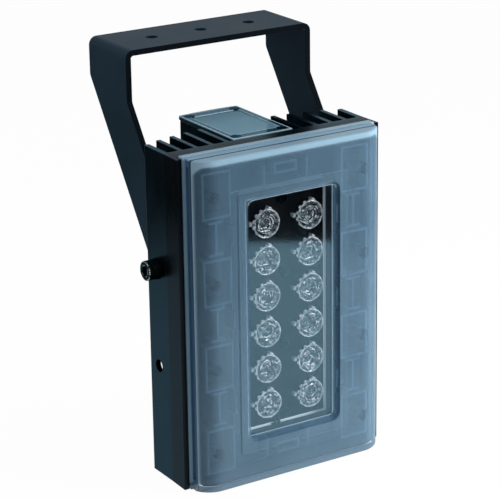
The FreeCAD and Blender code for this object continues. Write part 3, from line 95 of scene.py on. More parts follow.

# Cover: how strongly the painted highlights on its edges and lines show, what the flange loses of that, how
# much the frost holds back, how its colour is painted lighter towards the foot, and the heights over which
# the painted shade on its slopes and in its groove deepens upwards
DULL_FLANGE = 0.55
LINE_GLOW = 0.45
RIDGE_GLOW = 0.12
GLOW_VEIL = 0.85
EDGE_VEIL = 0.92
FACING_VEIL = (0.3, 0.8)
TONE_PER_METRE = -3.5
TONE_SPAN = (0.385, 0.985)
SHADOW_SPAN = (0.03, 0.13)
WINDOW_IOR = 1.85

# Frame behind the frost, and the board under the lenses
FRAME_PLATE_Y = -0.0390
RIB_TOP_Y = -0.0481
WELL_HALF = Vector((0.0264, 0.0, 0.0648))
WELL_RIM_HALF = Vector((0.0284, 0.0, 0.0668))
WELL_CORNER = 0.001
WELL_LINE = 0.0006
WELL_FRONT_Y = -0.0502
WELL_FOOT_Y = -0.0444
BOARD_Y = -0.04375
BOARD_MASK_HALF = Vector((0.0252, 0.0, 0.0637))
BOARD_MASK_CORNER = 0.0005
CHIP_EDGE = (0.00075, 0.0009)

# Cap over the housing
CAP_MIDDLE = Vector((0.0, 0.0014, 0.0))
CAP_HALF = Vector((0.0174, 0.0268, 0.0))
PANEL_HALF = Vector((0.0146, 0.0212, 0.0))
CAP_CORNER = 0.0012
PANEL_LINE = 0.0006
CAP_TOP_Z = 0.1798
CAP_IOR = 1.22

# Walls, arms and pivots: the depths where the painted shade of the wall's front band ends, the line of the
# arm's front edge before which the coat is painted in shade, and radius and half width of each rim where
# glints are painted on a pivot screw's head
WALL_SHADE_BAND = (-0.0297, -0.0289)
ARM_FOOT = Vector((0.0, -0.02705, 0.1356))
ARM_KNEE = Vector((0.0, 0.01485, 0.1965))
ARM_SHADE_EDGE = (0.0003, 0.0006)
PIVOT = Vector((0.0, -0.01815, 0.1164))
KNURLS = 34.0
KNURL_TOOTH = (-0.2, 0.6)
HEAD_RIMS = ((0.0049, 0.0004), (0.0030, 0.0003))
HEAD_RIM_CORE = 0.6

# Lenses: rows and columns and where they stand, then the radius of each line of painted glints and the least
# share of it that shows, and the painted specks and beads between the lines
LENS_ROWS = 6
LENS_COLUMNS = 2
LENS_SIDE = 0.0133
LENS_PITCH = 0.020
LENS_IOR = 1.49
LENS_GLINTS = ((0.0075, 0.4), (0.0051, 0.0), (0.0039, 0.1), (0.0026, 0.0))
GLINT_LINE = (0.00016, 0.0003)
SPECK = (0.2, 0.28)
BEADS_Y = BOARD_Y - 0.0052
BEADS_INSIDE = 0.0066
BEAD_GLOW = 0.7

# Lens shape: radius and height of each step from the pocket's roof round to the bulb, in mm
LENS_SIDES = 64
LENS_STEPS = (
    (2.0, 3.5), (2.4, 3.1), (2.4, 0.7), (3.3, 0.7), (3.7, 1.5), (4.4, 1.6), (4.7, 2.5), (5.4, 2.6),
    (5.7, 3.7), (6.4, 3.9), (6.6, 5.3), (7.7, 5.4), (7.7, 6.3), (7.2, 6.3), (6.8, 5.9), (5.4, 5.9),
    (5.0, 6.2), (4.2, 6.2), (3.8, 5.5), (3.0, 5.5), (2.7, 4.6), (2.3, 4.6), (1.8, 5.2), (1.1, 5.6),
    (0.3, 5.7),
)

# Beads and tabs round the lens, in metres, and its rounded edges
BEAD_COUNT = 13
BEAD_SEGMENTS = 12
BEAD_RINGS = 8
BEAD_CIRCLE = 0.0069
BEAD_HEIGHT = 0.0044
BEAD_RADIUS = 0.0011
BEAD_SQUASH = 0.9
TAB_COUNT = 3
TAB_CIRCLE = 0.0077
TAB_HEIGHT = 0.0015
TAB_SIZE = (0.0016, 0.0022, 0.0030)
EDGE_ROUND = 0.00025
ROUNDED_FROM = math.radians(40)
SMOOTH_UP_TO = math.radians(35)

# Patterns: size of the slow clouds in mm, the span of grain and clouds together, and that of clouds alone
CLOUD = 34.0
MOTTLE = (0.7, 1.3)
CLOUD_SPAN = (0.35, 0.65)
DIE_LINES = (1, 1, 0.03)

# Relief of finishes, in metres
FROST_RELIEF = 0.00003
MOULD_RELIEF = 0.00004
TRACK_RELIEF = 0.00003
KNURL_RELIEF = 0.0003

# Half widths of the soft edges that outlines are drawn with, in metres
CRISP = 0.0001
FIRM = 0.0002
EASY = 0.0003
SOFT = 0.001

# Sockets of the Mix node when it mixes colours
MIX_A = 6
MIX_B = 7
MIXED = 2

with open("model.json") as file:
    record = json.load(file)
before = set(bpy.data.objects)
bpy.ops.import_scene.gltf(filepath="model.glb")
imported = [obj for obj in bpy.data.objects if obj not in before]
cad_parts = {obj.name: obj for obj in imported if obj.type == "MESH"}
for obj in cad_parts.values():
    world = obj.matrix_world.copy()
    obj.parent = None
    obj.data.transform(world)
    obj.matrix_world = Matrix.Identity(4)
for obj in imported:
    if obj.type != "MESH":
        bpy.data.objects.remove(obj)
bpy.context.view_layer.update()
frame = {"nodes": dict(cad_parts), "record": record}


def srgb(code):
    """Linear colour of an sRGB hex value such as #1b1d20."""
    channels = [int(code[i:i + 2], 16) / 255 for i in (1, 3, 5)]
    return [c / 12.92 if c <= 0.04045 else ((c + 0.055) / 1.055) ** 2.4 for c in channels] + [1.0]


def per_metre(size):
    """Scale of a pattern whose features measure so many millimetres."""
    return 1000.0 / size


def add(material, kind, inputs=None, **settings):
    """Add a node with its settings; each input gets a value or a link from a socket."""
    made = material.node_tree.nodes.new(kind)
    for name, value in settings.items():
        setattr(made, name, value)
    for socket, value in (inputs or {}).items():
        if isinstance(value, bpy.types.NodeSocket):
            material.node_tree.links.new(value, made.inputs[socket])
        else:
            made.inputs[socket].default_value = value
    return made


def blank(name):
    """An empty material and the object coordinates in it."""
    material = bpy.data.materials.new(name)
    material.use_nodes = True
    material.node_tree.nodes.clear()
    return material, add(material, "ShaderNodeTexCoord").outputs["Object"]


def output(material, shader):
    """The material, finished with its surface shader."""
    add(material, "ShaderNodeOutputMaterial", {"Surface": shader.outputs[0]})
    return material


def inside_plate(material, place, half, corner, soft, centre=MIDDLE, plane=FROM_FRONT):
    """1 within a rounded rectangle about a centre and 0 outside it, seen square to its plane."""
    flat = add(material, "ShaderNodeVectorMath", {0: place, 1: centre}, operation="SUBTRACT")
    flat = add(material, "ShaderNodeVectorMath", {0: flat.outputs[0], 1: plane}, operation="MULTIPLY")
    flat = add(material, "ShaderNodeVectorMath", {0: flat.outputs[0]}, operation="ABSOLUTE")
    core = half - plane * corner
    past = add(material, "ShaderNodeVectorMath", {0: flat.outputs[0], 1: core}, operation="SUBTRACT")
    past = add(material, "ShaderNodeVectorMath", {0: past.outputs[0], 1: (0, 0, 0)}, operation="MAXIMUM")
    reach = add(material, "ShaderNodeVectorMath", {0: past.outputs[0]}, operation="LENGTH")
    return add(material, "ShaderNodeMapRange", {
        "Value": reach.outputs["Value"], "From Min": corner - soft, "From Max": corner + soft,
        "To Min": 1.0, "To Max": 0.0}).outputs[0]


def ring_round(material, place, half, corner, width, soft, centre=MIDDLE, plane=FROM_FRONT):
    """1 along a rounded rectangle's line of the given width, and 0 elsewhere."""
    spread = plane * (width / 2)
    outer = inside_plate(material, place, half + spread, corner + width / 2, soft, centre, plane)
    inner = inside_plate(material, place, half - spread, corner - width / 2, soft, centre, plane)
    return add(material, "ShaderNodeMath", {0: outer, 1: inner}, operation="SUBTRACT").outputs[0]


def circle_line(material, radius, where, core, edge):
    """1 where a radius is within the core of a value, and 0 from the edge on."""
    off = add(material, "ShaderNodeMath", {0: radius, 1: where}, operation="SUBTRACT").outputs[0]
    off = add(material, "ShaderNodeMath", {0: off}, operation="ABSOLUTE").outputs[0]
    return add(material, "ShaderNodeMapRange", {
        "Value": off, "From Min": core, "From Max": edge, "To Min": 1.0, "To Max": 0.0}).outputs[0]


def most(material, *shares):
    """The largest of several shares."""
    share = shares[0]
    for other in shares[1:]:
        share = add(material, "ShaderNodeMath", {0: share, 1: other}, operation="MAXIMUM").outputs[0]
    return share


def patches_in(material, place, size, span):
    """Scattered patches of a size in mm, 0 below and 1 above the span of their noise."""
    noise = add(material, "ShaderNodeTexNoise", {
        "Vector": place, "Scale": per_metre(size), "Detail": 1.0}).outputs[0]
    return add(material, "ShaderNodeMapRange", {
        "Value": noise, "From Min": span[0], "From Max": span[1]}).outputs[0]


def clouds_in(material, place):
    """Slow clouds of a finish, from 0 to 1."""
    return add(material, "ShaderNodeTexNoise", {
        "Vector": place, "Scale": per_metre(CLOUD), "Detail": 2.0}).outputs[0]


def mottle_in(material, place, grain, stretch=(1, 1, 1)):
    """Fine grain of a finish, and the grain and slow clouds together; the grain is its size in mm."""
    mapped = add(material, "ShaderNodeMapping", {"Vector": place, "Scale": stretch}).outputs[0]
    fine = add(material, "ShaderNodeTexNoise", {
        "Vector": mapped, "Scale": per_metre(grain), "Detail": 3.0, "Roughness": 0.6}).outputs[0]
    both = add(material, "ShaderNodeMath", {
        0: fine, 1: clouds_in(material, place)}, operation="ADD").outputs[0]
    return fine, both


def two_tone(material, share, tones, span=MOTTLE):
    """Colour between two hex values as a pattern goes over its span."""
    spread = add(material, "ShaderNodeMapRange", {
        "Value": share, "From Min": span[0], "From Max": span[1]}).outputs[0]
    return add(material, "ShaderNodeMix", {
        "Factor": spread, MIX_A: srgb(tones[0]), MIX_B: srgb(tones[1])}, data_type="RGBA").outputs[MIXED]


def mottled_skin(material, place, tones, grain, rough, relief, stretch=(1, 1, 1)):
    """Colour, roughness and normal of a skin: two tones, grain in mm, two roughnesses, relief in mm."""
    fine, both = mottle_in(material, place, grain, stretch)
    gloss = add(material, "ShaderNodeMapRange", {
        "Value": both, "From Min": MOTTLE[0], "From Max": MOTTLE[1],
        "To Min": rough[0], "To Max": rough[1]}).outputs[0]
    normal = add(material, "ShaderNodeBump", {"Height": fine, "Distance": relief / 1000.0}).outputs[0]
    return two_tone(material, both, tones), gloss, normal


def grained(name, tones, grain, rough, relief, metallic=0.0):
    """A plain finish of one mottled skin all over."""
    material, place = blank(name)
    colour, gloss, normal = mottled_skin(material, place, tones, grain, rough, relief)
    return output(material, add(material, "ShaderNodeBsdfPrincipled", {
        "Base Color": colour, "Roughness": gloss, "Metallic": metallic, "Normal": normal}))


# Plain finishes. Real grains are finer than a pixel, so these are drawn 0.6 to 3 mm wide to show at all.
# Zinc plated screws: bright metal with a faint mottle
ZINC = grained("zinc_plated_steel", ("#a9abb0", "#c9cbd0"), 0.8, (0.22, 0.34), 0.02, metallic=1.0)
# Glass filled nylon of the gland and the lower cap: satin black with a moulded grain
NYLON = grained("glass_filled_nylon_black", ("#1b1c1e", "#26282a"), 0.6, (0.5, 0.62), 0.05)
# Moulded rubber: dull and even
RUBBER = grained("epdm_rubber_black", ("#191919", "#242424"), 0.9, (0.7, 0.82), 0.04)
# Glass fibre board with green solder mask: weave shows faintly under the gloss
GREEN_BOARD = grained("fr4_board_green", ("#0f4a2a", "#176038"), 0.8, (0.25, 0.35), 0.02)
# Ferrite core and lacquered winding: matt grey ceramic
FERRITE = grained("ferrite_sintered", ("#2a2a2d", "#3a3a3e"), 0.7, (0.6, 0.75), 0.05)
# Capacitor cans in a plain shrink sleeve: dark blue film over aluminium
SLEEVE = grained("pet_shrink_sleeve_blue", ("#1c2450", "#26306a"), 3.0, (0.25, 0.35), 0.02)
# Terminal block: green polyamide, moulded
TERMINAL = grained("polyamide_green", ("#1f6b3a", "#2a7f48"), 0.8, (0.42, 0.55), 0.03)
# Friction washers: pressed fibre with a felted grain
FIBRE = grained("pressed_fibre_washer", ("#2b2927", "#3b3835"), 0.6, (0.8, 0.92), 0.06)


def anodised_profile():
    """Extruded aluminium, black anodised: fine die lines along a blue-black satin that mirrors dimly.

    The lines are drawn half a millimetre wide, coarser than real, so that they show. The walls' front bands
    are painted darker and greyer, with a greyer reflection tint: painted shade.
    """
    material, place = blank("anodised_aluminium_extruded_black")
    tones = ("#161d22", "#202a32")
    skin, gloss, normal = mottled_skin(material, place, tones, 0.5, (0.24, 0.36), 0.02, DIE_LINES)
    depth = add(material, "ShaderNodeSeparateXYZ", {0: place}).outputs[1]
    # Painted shade: the front band of the walls is painted darker and greyer, and its reflection tint greyer
    wall = add(material, "ShaderNodeMapRange", {
        "Value": depth, "From Min": WALL_SHADE_BAND[0], "From Max": WALL_SHADE_BAND[1]}).outputs[0]
    colour = add(material, "ShaderNodeMix", {
        "Factor": wall, MIX_A: srgb("#1a2126"), MIX_B: skin}, data_type="RGBA")
    edge = add(material, "ShaderNodeMix", {
        "Factor": wall, MIX_A: srgb("#c6ced4"), MIX_B: srgb("#c6dae6")}, data_type="RGBA")
    return output(material, add(material, "ShaderNodeBsdfPrincipled", {
        "Base Color": colour.outputs[MIXED], "Roughness": gloss, "Metallic": 1.0,
        "Specular Tint": edge.outputs[MIXED], "Normal": normal}))


def powder_coat():
    """Bent steel strap, black powder coat: an even, pebbled skin, coarser than real so that it shows.

    The arms' narrow front edges are painted near black: painted shade.
    """
    material, place = blank("powder_coated_steel_black")
    tones = ("#1a2a34", "#233542")
    skin, gloss, normal = mottled_skin(material, place, tones, 0.7, (0.42, 0.55), 0.05)
    axes = add(material, "ShaderNodeSeparateXYZ", {0: place}).outputs
    # Painted shade: in front of the line of the arm's front edge the coat is painted near black
    front = add(material, "ShaderNodeMapRange", {
        "Value": axes[2], "From Min": ARM_FOOT.z, "From Max": ARM_KNEE.z,
        "To Min": ARM_FOOT.y, "To Max": ARM_KNEE.y}).outputs[0]
    behind = add(material, "ShaderNodeMath", {0: axes[1], 1: front}, operation="SUBTRACT").outputs[0]
    unshaded_face = add(material, "ShaderNodeMapRange", {
        "Value": behind, "From Min": ARM_SHADE_EDGE[0], "From Max": ARM_SHADE_EDGE[1]}).outputs[0]
    colour = add(material, "ShaderNodeMix", {
        "Factor": unshaded_face, MIX_A: srgb("#080c10"), MIX_B: skin}, data_type="RGBA")
    return output(material, add(material, "ShaderNodeBsdfPrincipled", {
        "Base Color": colour.outputs[MIXED], "Roughness": gloss, "Specular IOR Level": 0.03,
        "Specular Tint": srgb("#8fc0e0"), "Normal": normal}))


def black_oxide():
    """Machine screws, black oxide: oily dark metal, its mottle drawn coarser than real so that it shows.

    The pivot screws' heads are knurled, with painted glints in broken patches round their rims.
    """
    material, place = blank("black_oxide_steel")
    both = mottle_in(material, place, 0.5)[1]
    away = add(material, "ShaderNodeVectorMath", {0: place, 1: PIVOT}, operation="SUBTRACT").outputs[0]
    away = add(material, "ShaderNodeVectorMath", {0: away, 1: FROM_SIDE}, operation="MULTIPLY").outputs[0]
    radius = add(material, "ShaderNodeVectorMath", {0: away}, operation="LENGTH").outputs["Value"]
    axes = add(material, "ShaderNodeSeparateXYZ", {0: away}).outputs
    turn = add(material, "ShaderNodeMath", {0: axes[2], 1: axes[1]}, operation="ARCTAN2").outputs[0]
    turn = add(material, "ShaderNodeMath", {0: turn, 1: KNURLS}, operation="MULTIPLY").outputs[0]
    wave = add(material, "ShaderNodeMath", {0: turn}, operation="SINE").outputs[0]
    teeth = add(material, "ShaderNodeMapRange", {
        "Value": wave, "From Min": KNURL_TOOTH[0], "From Max": KNURL_TOOTH[1]}).outputs[0]
    # Painted glints: pale patches on the knurl's teeth round the head's rims
    rims = [circle_line(material, radius, where, edge * HEAD_RIM_CORE, edge) for where, edge in HEAD_RIMS]
    broken = patches_in(material, place, 1.6, (0.44, 0.56))
    painted_glint = most(material, *rims)
    for share in (teeth, broken):
        painted_glint = add(material, "ShaderNodeMath", {0: painted_glint, 1: share}, operation="MULTIPLY").outputs[0]
    colour = add(material, "ShaderNodeMix", {
        "Factor": painted_glint, MIX_A: two_tone(material, both, ("#0b1013", "#161d21")), MIX_B: srgb("#c9d6d2")},
        data_type="RGBA")
    knurl = add(material, "ShaderNodeBump", {"Height": teeth, "Distance": KNURL_RELIEF, "Strength": 0.6})
    return output(material, add(material, "ShaderNodeBsdfPrincipled", {
        "Base Color": colour.outputs[MIXED], "Roughness": 0.28, "Metallic": 1.0,
        "Specular Tint": srgb("#a9bdc6"), "Normal": knurl.outputs[0]}))


def cover_zones(material, place):
    """Where the cover changes: a share from 0 to 1 for each of its parts, edges and lines."""
    axes = add(material, "ShaderNodeSeparateXYZ", {0: place}).outputs
    depth = axes[1]
    height = axes[2]
    limits = {
        "back": (depth, PARTING_Y, "GREATER_THAN"),
        "flange": (depth, FLANGE_Y, "GREATER_THAN"),
        "grooved": (depth, GROOVE_Y, "LESS_THAN"),
        "sunk": (depth, POCKET_FLOOR_Y, "LESS_THAN"),
        "lip": (height, LIP_Z, "GREATER_THAN"),
        "sole": (height, SOLE_Z, "LESS_THAN"),
        "window_top": (height, SILL_Z, "GREATER_THAN"),
    }
    zones = {"height": height}
    for name, (axis, limit, side) in limits.items():
        zones[name] = add(material, "ShaderNodeMath", {0: axis, 1: limit}, operation=side).outputs[0]

    # Painted highlights: the rim band round the front, the raised ridge and the lines of the ridge and pocket
    # are painted lighter; the flange keeps less of the rim's
    middle = inside_plate(material, place, RIM_HALF, RIM_CORNER, SOFT, RIM_MIDDLE)
    differences = {
        "rim": (1.0, middle),
        "dull": (zones["flange"], zones["lip"]),
        "channel": (zones["back"], zones["flange"]),
    }
    for name, (share, other) in differences.items():
        zones[name] = add(material, "ShaderNodeMath", {0: share, 1: other}, operation="SUBTRACT").outputs[0]

    ridge_line = ring_round(material, place, RIDGE_HALF, RIDGE_CORNER, RIDGE_LINE, FIRM)
    pocket_line = ring_round(material, place, POCKET_HALF, POCKET_CORNER, POCKET_LINE, FIRM)
    # The slopes and the groove take painted shade, and the line along the window's top edge a painted
    # highlight
    overlaps = {
        "dull": (zones["dull"], DULL_FLANGE),
        "lines": (most(material, ridge_line, pocket_line), LINE_GLOW),
        "ridge": (inside_plate(material, place, RIDGE_HALF, RIDGE_CORNER, FIRM), RIDGE_GLOW),
        "slope": (inside_plate(material, place, POCKET_HALF, POCKET_CORNER, FIRM), zones["sunk"]),
        "groove": (zones["channel"], zones["grooved"]),
        "sill_highlight": (ring_round(material, place, SILL_HALF, SILL_CORNER, SILL_LINE, CRISP), zones["window_top"]),
    }
    for name, (share, other) in overlaps.items():
        zones[name] = add(material, "ShaderNodeMath", {0: share, 1: other}, operation="MULTIPLY").outputs[0]

    rim = add(material, "ShaderNodeMath", {
        0: zones["rim"], 1: zones["dull"]}, operation="SUBTRACT", use_clamp=True).outputs[0]
    zones["bright"] = most(material, rim, zones["ridge"], zones["lines"])
    zones["window"] = inside_plate(material, place, WINDOW_HALF, WINDOW_CORNER, EASY)
    return zones


def cover_colour(material, zones, both):
    """Colour of the frosted moulding: painted lighter towards its foot as painted light from the pale floor,
    with painted highlights on its edges, lines, the lip's top and the window's top edge, the side channel
    painted dark, and painted shade in its groove and on the slopes.
    """
    # Painted light: the colour grows lighter towards the foot, standing in for the pale floor's light
    mottle_and_floor_light = add(material, "ShaderNodeMath", {
        0: zones["height"], 1: TONE_PER_METRE, 2: both}, operation="MULTIPLY_ADD").outputs[0]
    skin = two_tone(material, mottle_and_floor_light, ("#536e81", "#6c8799"), TONE_SPAN)
    # The side channel is painted dark for the black wall seen through it; the lip's top is a painted
    # highlight
    channel = add(material, "ShaderNodeMix", {
        "Factor": zones["lip"], MIX_A: srgb("#3a5872"), MIX_B: srgb("#7b9db3")}, data_type="RGBA")
    shadow = two_tone(material, zones["height"], ("#43627c", "#1f354c"), SHADOW_SPAN)
    # Layers over the mottle: painted highlights, the channel, painted shade on slopes and groove, the sole,
    # and the painted highlight along the window's top edge
    layers = (
        (zones["bright"], srgb("#819eb0")),
        (zones["channel"], channel.outputs[MIXED]),
        (most(material, zones["slope"], zones["groove"]), shadow),
        (zones["sole"], srgb("#486072")),
        (zones["sill_highlight"], srgb("#a6bac9")),
    )
    for share, colour in layers:
        skin = add(material, "ShaderNodeMix", {
            "Factor": share, MIX_A: skin, MIX_B: colour}, data_type="RGBA").outputs[MIXED]
    return skin


def frosted_cover():
    """Polycarbonate moulding, spark eroded to a frost round a polished window.

    The frost veils the pale frame behind it, and holds back more of it where the moulding is thick: at its
    edges, and along the lines of the raised border, where painted highlights lie. Its grain is drawn coarser
    than real, so that it shows.
    Past the parting line and at the sole hardly anything shows through. The window is clear and mirrors
    the studio.
    """
    material, place = blank("polycarbonate_frosted_round_polished_window")
    fine, both = mottle_in(material, place, 0.6)
    zones = cover_zones(material, place)
    relief = add(material, "ShaderNodeBump", {"Height": fine, "Distance": FROST_RELIEF})
    frost = add(material, "ShaderNodeBsdfPrincipled", {
        "Base Color": cover_colour(material, zones, both), "Roughness": 0.42, "IOR": 1.58,
        "Specular Tint": srgb("#b9dcf0"), "Normal": relief.outputs[0]})
    facing = add(material, "ShaderNodeLayerWeight", {"Blend": 0.35}).outputs["Facing"]
    veil = add(material, "ShaderNodeMapRange", {
        "Value": facing, "To Min": FACING_VEIL[0], "To Max": FACING_VEIL[1]}).outputs[0]
    edges = most(material, zones["back"], zones["sole"])
    for share, held_back in ((zones["bright"], GLOW_VEIL), (edges, EDGE_VEIL)):
        share = add(material, "ShaderNodeMath", {0: share, 1: held_back}, operation="MULTIPLY").outputs[0]
        veil = most(material, veil, share)
    through = add(material, "ShaderNodeBsdfTransparent", {"Color": srgb("#e4eef5")})
    frosted = add(material, "ShaderNodeMixShader", {0: veil, 1: through.outputs[0], 2: frost.outputs[0]})

    behind = add(material, "ShaderNodeNewGeometry").outputs["Backfacing"]
    index = add(material, "ShaderNodeMapRange", {
        "Value": behind, "To Min": WINDOW_IOR, "To Max": 1 / WINDOW_IOR}).outputs[0]
    mirror = add(material, "ShaderNodeFresnel", {"IOR": index}).outputs[0]
    mirror = add(material, "ShaderNodeMath", {
        0: mirror, 1: zones["slope"]}, operation="SUBTRACT", use_clamp=True).outputs[0]
    shine = add(material, "ShaderNodeBsdfGlossy", {"Color": srgb("#aee4ff"), "Roughness": 0.06})
    bare = add(material, "ShaderNodeBsdfTransparent", {"Color": srgb("#fafcfd")})
    clear = add(material, "ShaderNodeMixShader", {0: mirror, 1: bare.outputs[0], 2: shine.outputs[0]})
    return output(material, add(material, "ShaderNodeMixShader", {
        0: zones["window"], 1: frosted.outputs[0], 2: clear.outputs[0]}))


def smoked_cap():
    """Smoked polycarbonate cap: a see-through tinted panel in a dark border, with edges on top painted pale
    as painted highlights.
    """
    material, place = blank("polycarbonate_smoked")
    inner = inside_plate(material, place, CAP_HALF, CAP_CORNER, FIRM, CAP_MIDDLE, FROM_ABOVE)
    rim = add(material, "ShaderNodeMath", {0: 1.0, 1: inner}, operation="SUBTRACT").outputs[0]
    step = ring_round(material, place, PANEL_HALF, CAP_CORNER, PANEL_LINE, CRISP, CAP_MIDDLE, FROM_ABOVE)
    height = add(material, "ShaderNodeSeparateXYZ", {0: place}).outputs[2]
    top = add(material, "ShaderNodeMath", {0: height, 1: CAP_TOP_Z}, operation="GREATER_THAN").outputs[0]
    # Painted highlights: the cap's rim and the panel's step are painted pale on top
    edge = add(material, "ShaderNodeMath", {
        0: most(material, rim, step), 1: top}, operation="MULTIPLY").outputs[0]
    panel = inside_plate(material, place, PANEL_HALF, CAP_CORNER, CRISP, CAP_MIDDLE, FROM_ABOVE)
    smoke = two_tone(material, clouds_in(material, place), ("#6c93a6", "#799fb1"), CLOUD_SPAN)
    tint = srgb("#1c3844")
    for share, colour in ((panel, smoke), (edge, srgb("#a8cbdc"))):
        tint = add(material, "ShaderNodeMix", {
            "Factor": share, MIX_A: tint, MIX_B: colour}, data_type="RGBA").outputs[MIXED]
    body = add(material, "ShaderNodeBsdfPrincipled", {
        "Base Color": tint, "Roughness": 0.3, "Specular IOR Level": 0.0})
    mirror = add(material, "ShaderNodeFresnel", {"IOR": CAP_IOR}).outputs[0]
    shine = add(material, "ShaderNodeBsdfGlossy", {"Color": srgb("#b4dcf0"), "Roughness": 0.1})
    body = add(material, "ShaderNodeMixShader", {0: mirror, 1: body.outputs[0], 2: shine.outputs[0]})
    through = add(material, "ShaderNodeBsdfTransparent", {"Color": srgb("#6d8896")})
    solid = add(material, "ShaderNodeMapRange", {"Value": panel, "To Min": 1.0, "To Max": 0.7}).outputs[0]
    return output(material, add(material, "ShaderNodeMixShader", {
        0: solid, 1: through.outputs[0], 2: body.outputs[0]}))


def from_lens_axis(material, place):
    """Distances across and along from the nearest lens's axis, in metres."""
    axes = add(material, "ShaderNodeSeparateXYZ", {0: place}).outputs
    side = add(material, "ShaderNodeMath", {0: axes[0]}, operation="ABSOLUTE").outputs[0]
    across = add(material, "ShaderNodeMath", {0: side, 1: LENS_SIDE}, operation="SUBTRACT").outputs[0]
    rise = add(material, "ShaderNodeMath", {
        0: axes[2], 1: MIDDLE.z + LENS_PITCH / 2}, operation="SUBTRACT").outputs[0]
    along = add(material, "ShaderNodeMath", {
        0: rise, 1: LENS_PITCH / 2, 2: -LENS_PITCH / 2}, operation="WRAP").outputs[0]
    return across, along


def clear_lens():
    """Polished acrylic collimator: its rounded edges, steps and beads catch the light, the rest is clear.

    The edges' glints are finer than a pixel, so they are painted on as broken pale lines half a millimetre
    wide;
    scattered specks and the beads are painted pale too: all painted highlights.
    """
    material, place = blank("acrylic_polished")
    across, along = from_lens_axis(material, place)
    flat = add(material, "ShaderNodeCombineXYZ", {0: across, 1: along}).outputs[0]
    radius = add(material, "ShaderNodeVectorMath", {0: flat}, operation="LENGTH").outputs["Value"]
    # Painted glints: broken pale lines round each lens's axis, scattered specks, and the beads
    broken = patches_in(material, place, 2.2, (0.5, 0.58))
    rings = []
    for where, least in LENS_GLINTS:
        line = circle_line(material, radius, where, *GLINT_LINE)
        share = most(material, broken, least)
        rings.append(add(material, "ShaderNodeMath", {0: line, 1: share}, operation="MULTIPLY").outputs[0])
    specks = add(material, "ShaderNodeTexVoronoi", {
        "Vector": place, "Scale": per_metre(1.7)}).outputs["Distance"]
    specks = add(material, "ShaderNodeMapRange", {
        "Value": specks, "From Min": SPECK[0], "From Max": SPECK[1],
        "To Min": 1.0, "To Max": 0.0}).outputs[0]
    specks = add(material, "ShaderNodeMath", {0: specks, 1: broken}, operation="MULTIPLY").outputs[0]
    depth = add(material, "ShaderNodeSeparateXYZ", {0: place}).outputs[1]
    low = add(material, "ShaderNodeMath", {0: depth, 1: BEADS_Y}, operation="GREATER_THAN").outputs[0]
    wide = add(material, "ShaderNodeMath", {0: radius, 1: BEADS_INSIDE}, operation="GREATER_THAN").outputs[0]
    beads = add(material, "ShaderNodeMath", {0: low, 1: wide}, operation="MULTIPLY").outputs[0]
    beads = add(material, "ShaderNodeMath", {0: beads, 1: BEAD_GLOW}, operation="MULTIPLY").outputs[0]
    painted_glint = most(material, specks, beads, *rings)

    behind = add(material, "ShaderNodeNewGeometry").outputs["Backfacing"]
    index = add(material, "ShaderNodeMapRange", {
        "Value": behind, "To Min": LENS_IOR, "To Max": 1 / LENS_IOR}).outputs[0]
    mirror = add(material, "ShaderNodeFresnel", {"IOR": index}).outputs[0]
    shine = add(material, "ShaderNodeBsdfGlossy", {"Color": srgb("#f4fafd"), "Roughness": 0.05})
    through = add(material, "ShaderNodeBsdfTransparent", {"Color": srgb("#e6eff4")})
    glass = add(material, "ShaderNodeMixShader", {0: mirror, 1: through.outputs[0], 2: shine.outputs[0]})
    lit = add(material, "ShaderNodeBsdfPrincipled", {
        "Base Color": srgb("#ffffff"), "Roughness": 0.15, "Metallic": 0.6})
    return output(material, add(material, "ShaderNodeMixShader", {
        0: painted_glint, 1: glass.outputs[0], 2: lit.outputs[0]}))


def pale_frame():
    """Pale grey ABS behind the frost, painted darker deep down and lighter towards its ribs' tops: painted
    shade.
    Its well is painted dark, a painted shade, with a pale foot and a painted highlight along its front rim.
    """
    material, place = blank("abs_light_grey")
    fine, both = mottle_in(material, place, 0.8)
    depth = add(material, "ShaderNodeSeparateXYZ", {0: place}).outputs[1]
    # Painted shade: the plate deep behind is darker and the ribs' tops lighter
    rise = add(material, "ShaderNodeMapRange", {
        "Value": depth, "From Min": FRAME_PLATE_Y, "From Max": RIB_TOP_Y}).outputs[0]
    shade = add(material, "ShaderNodeMix", {
        "Factor": rise, MIX_A: two_tone(material, both, ("#4e6373", "#5d7282")), MIX_B: srgb("#8da2b1")},
        data_type="RGBA")
    # Painted shade: the well's walls are painted dark; the line along its front rim is a painted highlight
    well = inside_plate(material, place, WELL_RIM_HALF, WELL_CORNER, FIRM)
    foot = add(material, "ShaderNodeMath", {0: depth, 1: WELL_FOOT_Y}, operation="GREATER_THAN").outputs[0]
    front = add(material, "ShaderNodeMath", {0: depth, 1: WELL_FRONT_Y}, operation="LESS_THAN").outputs[0]
    lip = ring_round(material, place, WELL_HALF, WELL_CORNER, WELL_LINE, CRISP)
    lip = add(material, "ShaderNodeMath", {0: lip, 1: front}, operation="MULTIPLY").outputs[0]
    wall = add(material, "ShaderNodeMix", {
        "Factor": most(material, foot, lip), MIX_A: srgb("#1d2c3b"), MIX_B: srgb("#f0f6fa")},
        data_type="RGBA")
    colour = add(material, "ShaderNodeMix", {
        "Factor": well, MIX_A: shade.outputs[MIXED], MIX_B: wall.outputs[MIXED]}, data_type="RGBA")
    relief = add(material, "ShaderNodeBump", {"Height": fine, "Distance": MOULD_RELIEF})
    return output(material, add(material, "ShaderNodeBsdfPrincipled", {
        "Base Color": colour.outputs[MIXED], "Roughness": 0.55, "Normal": relief.outputs[0]}))


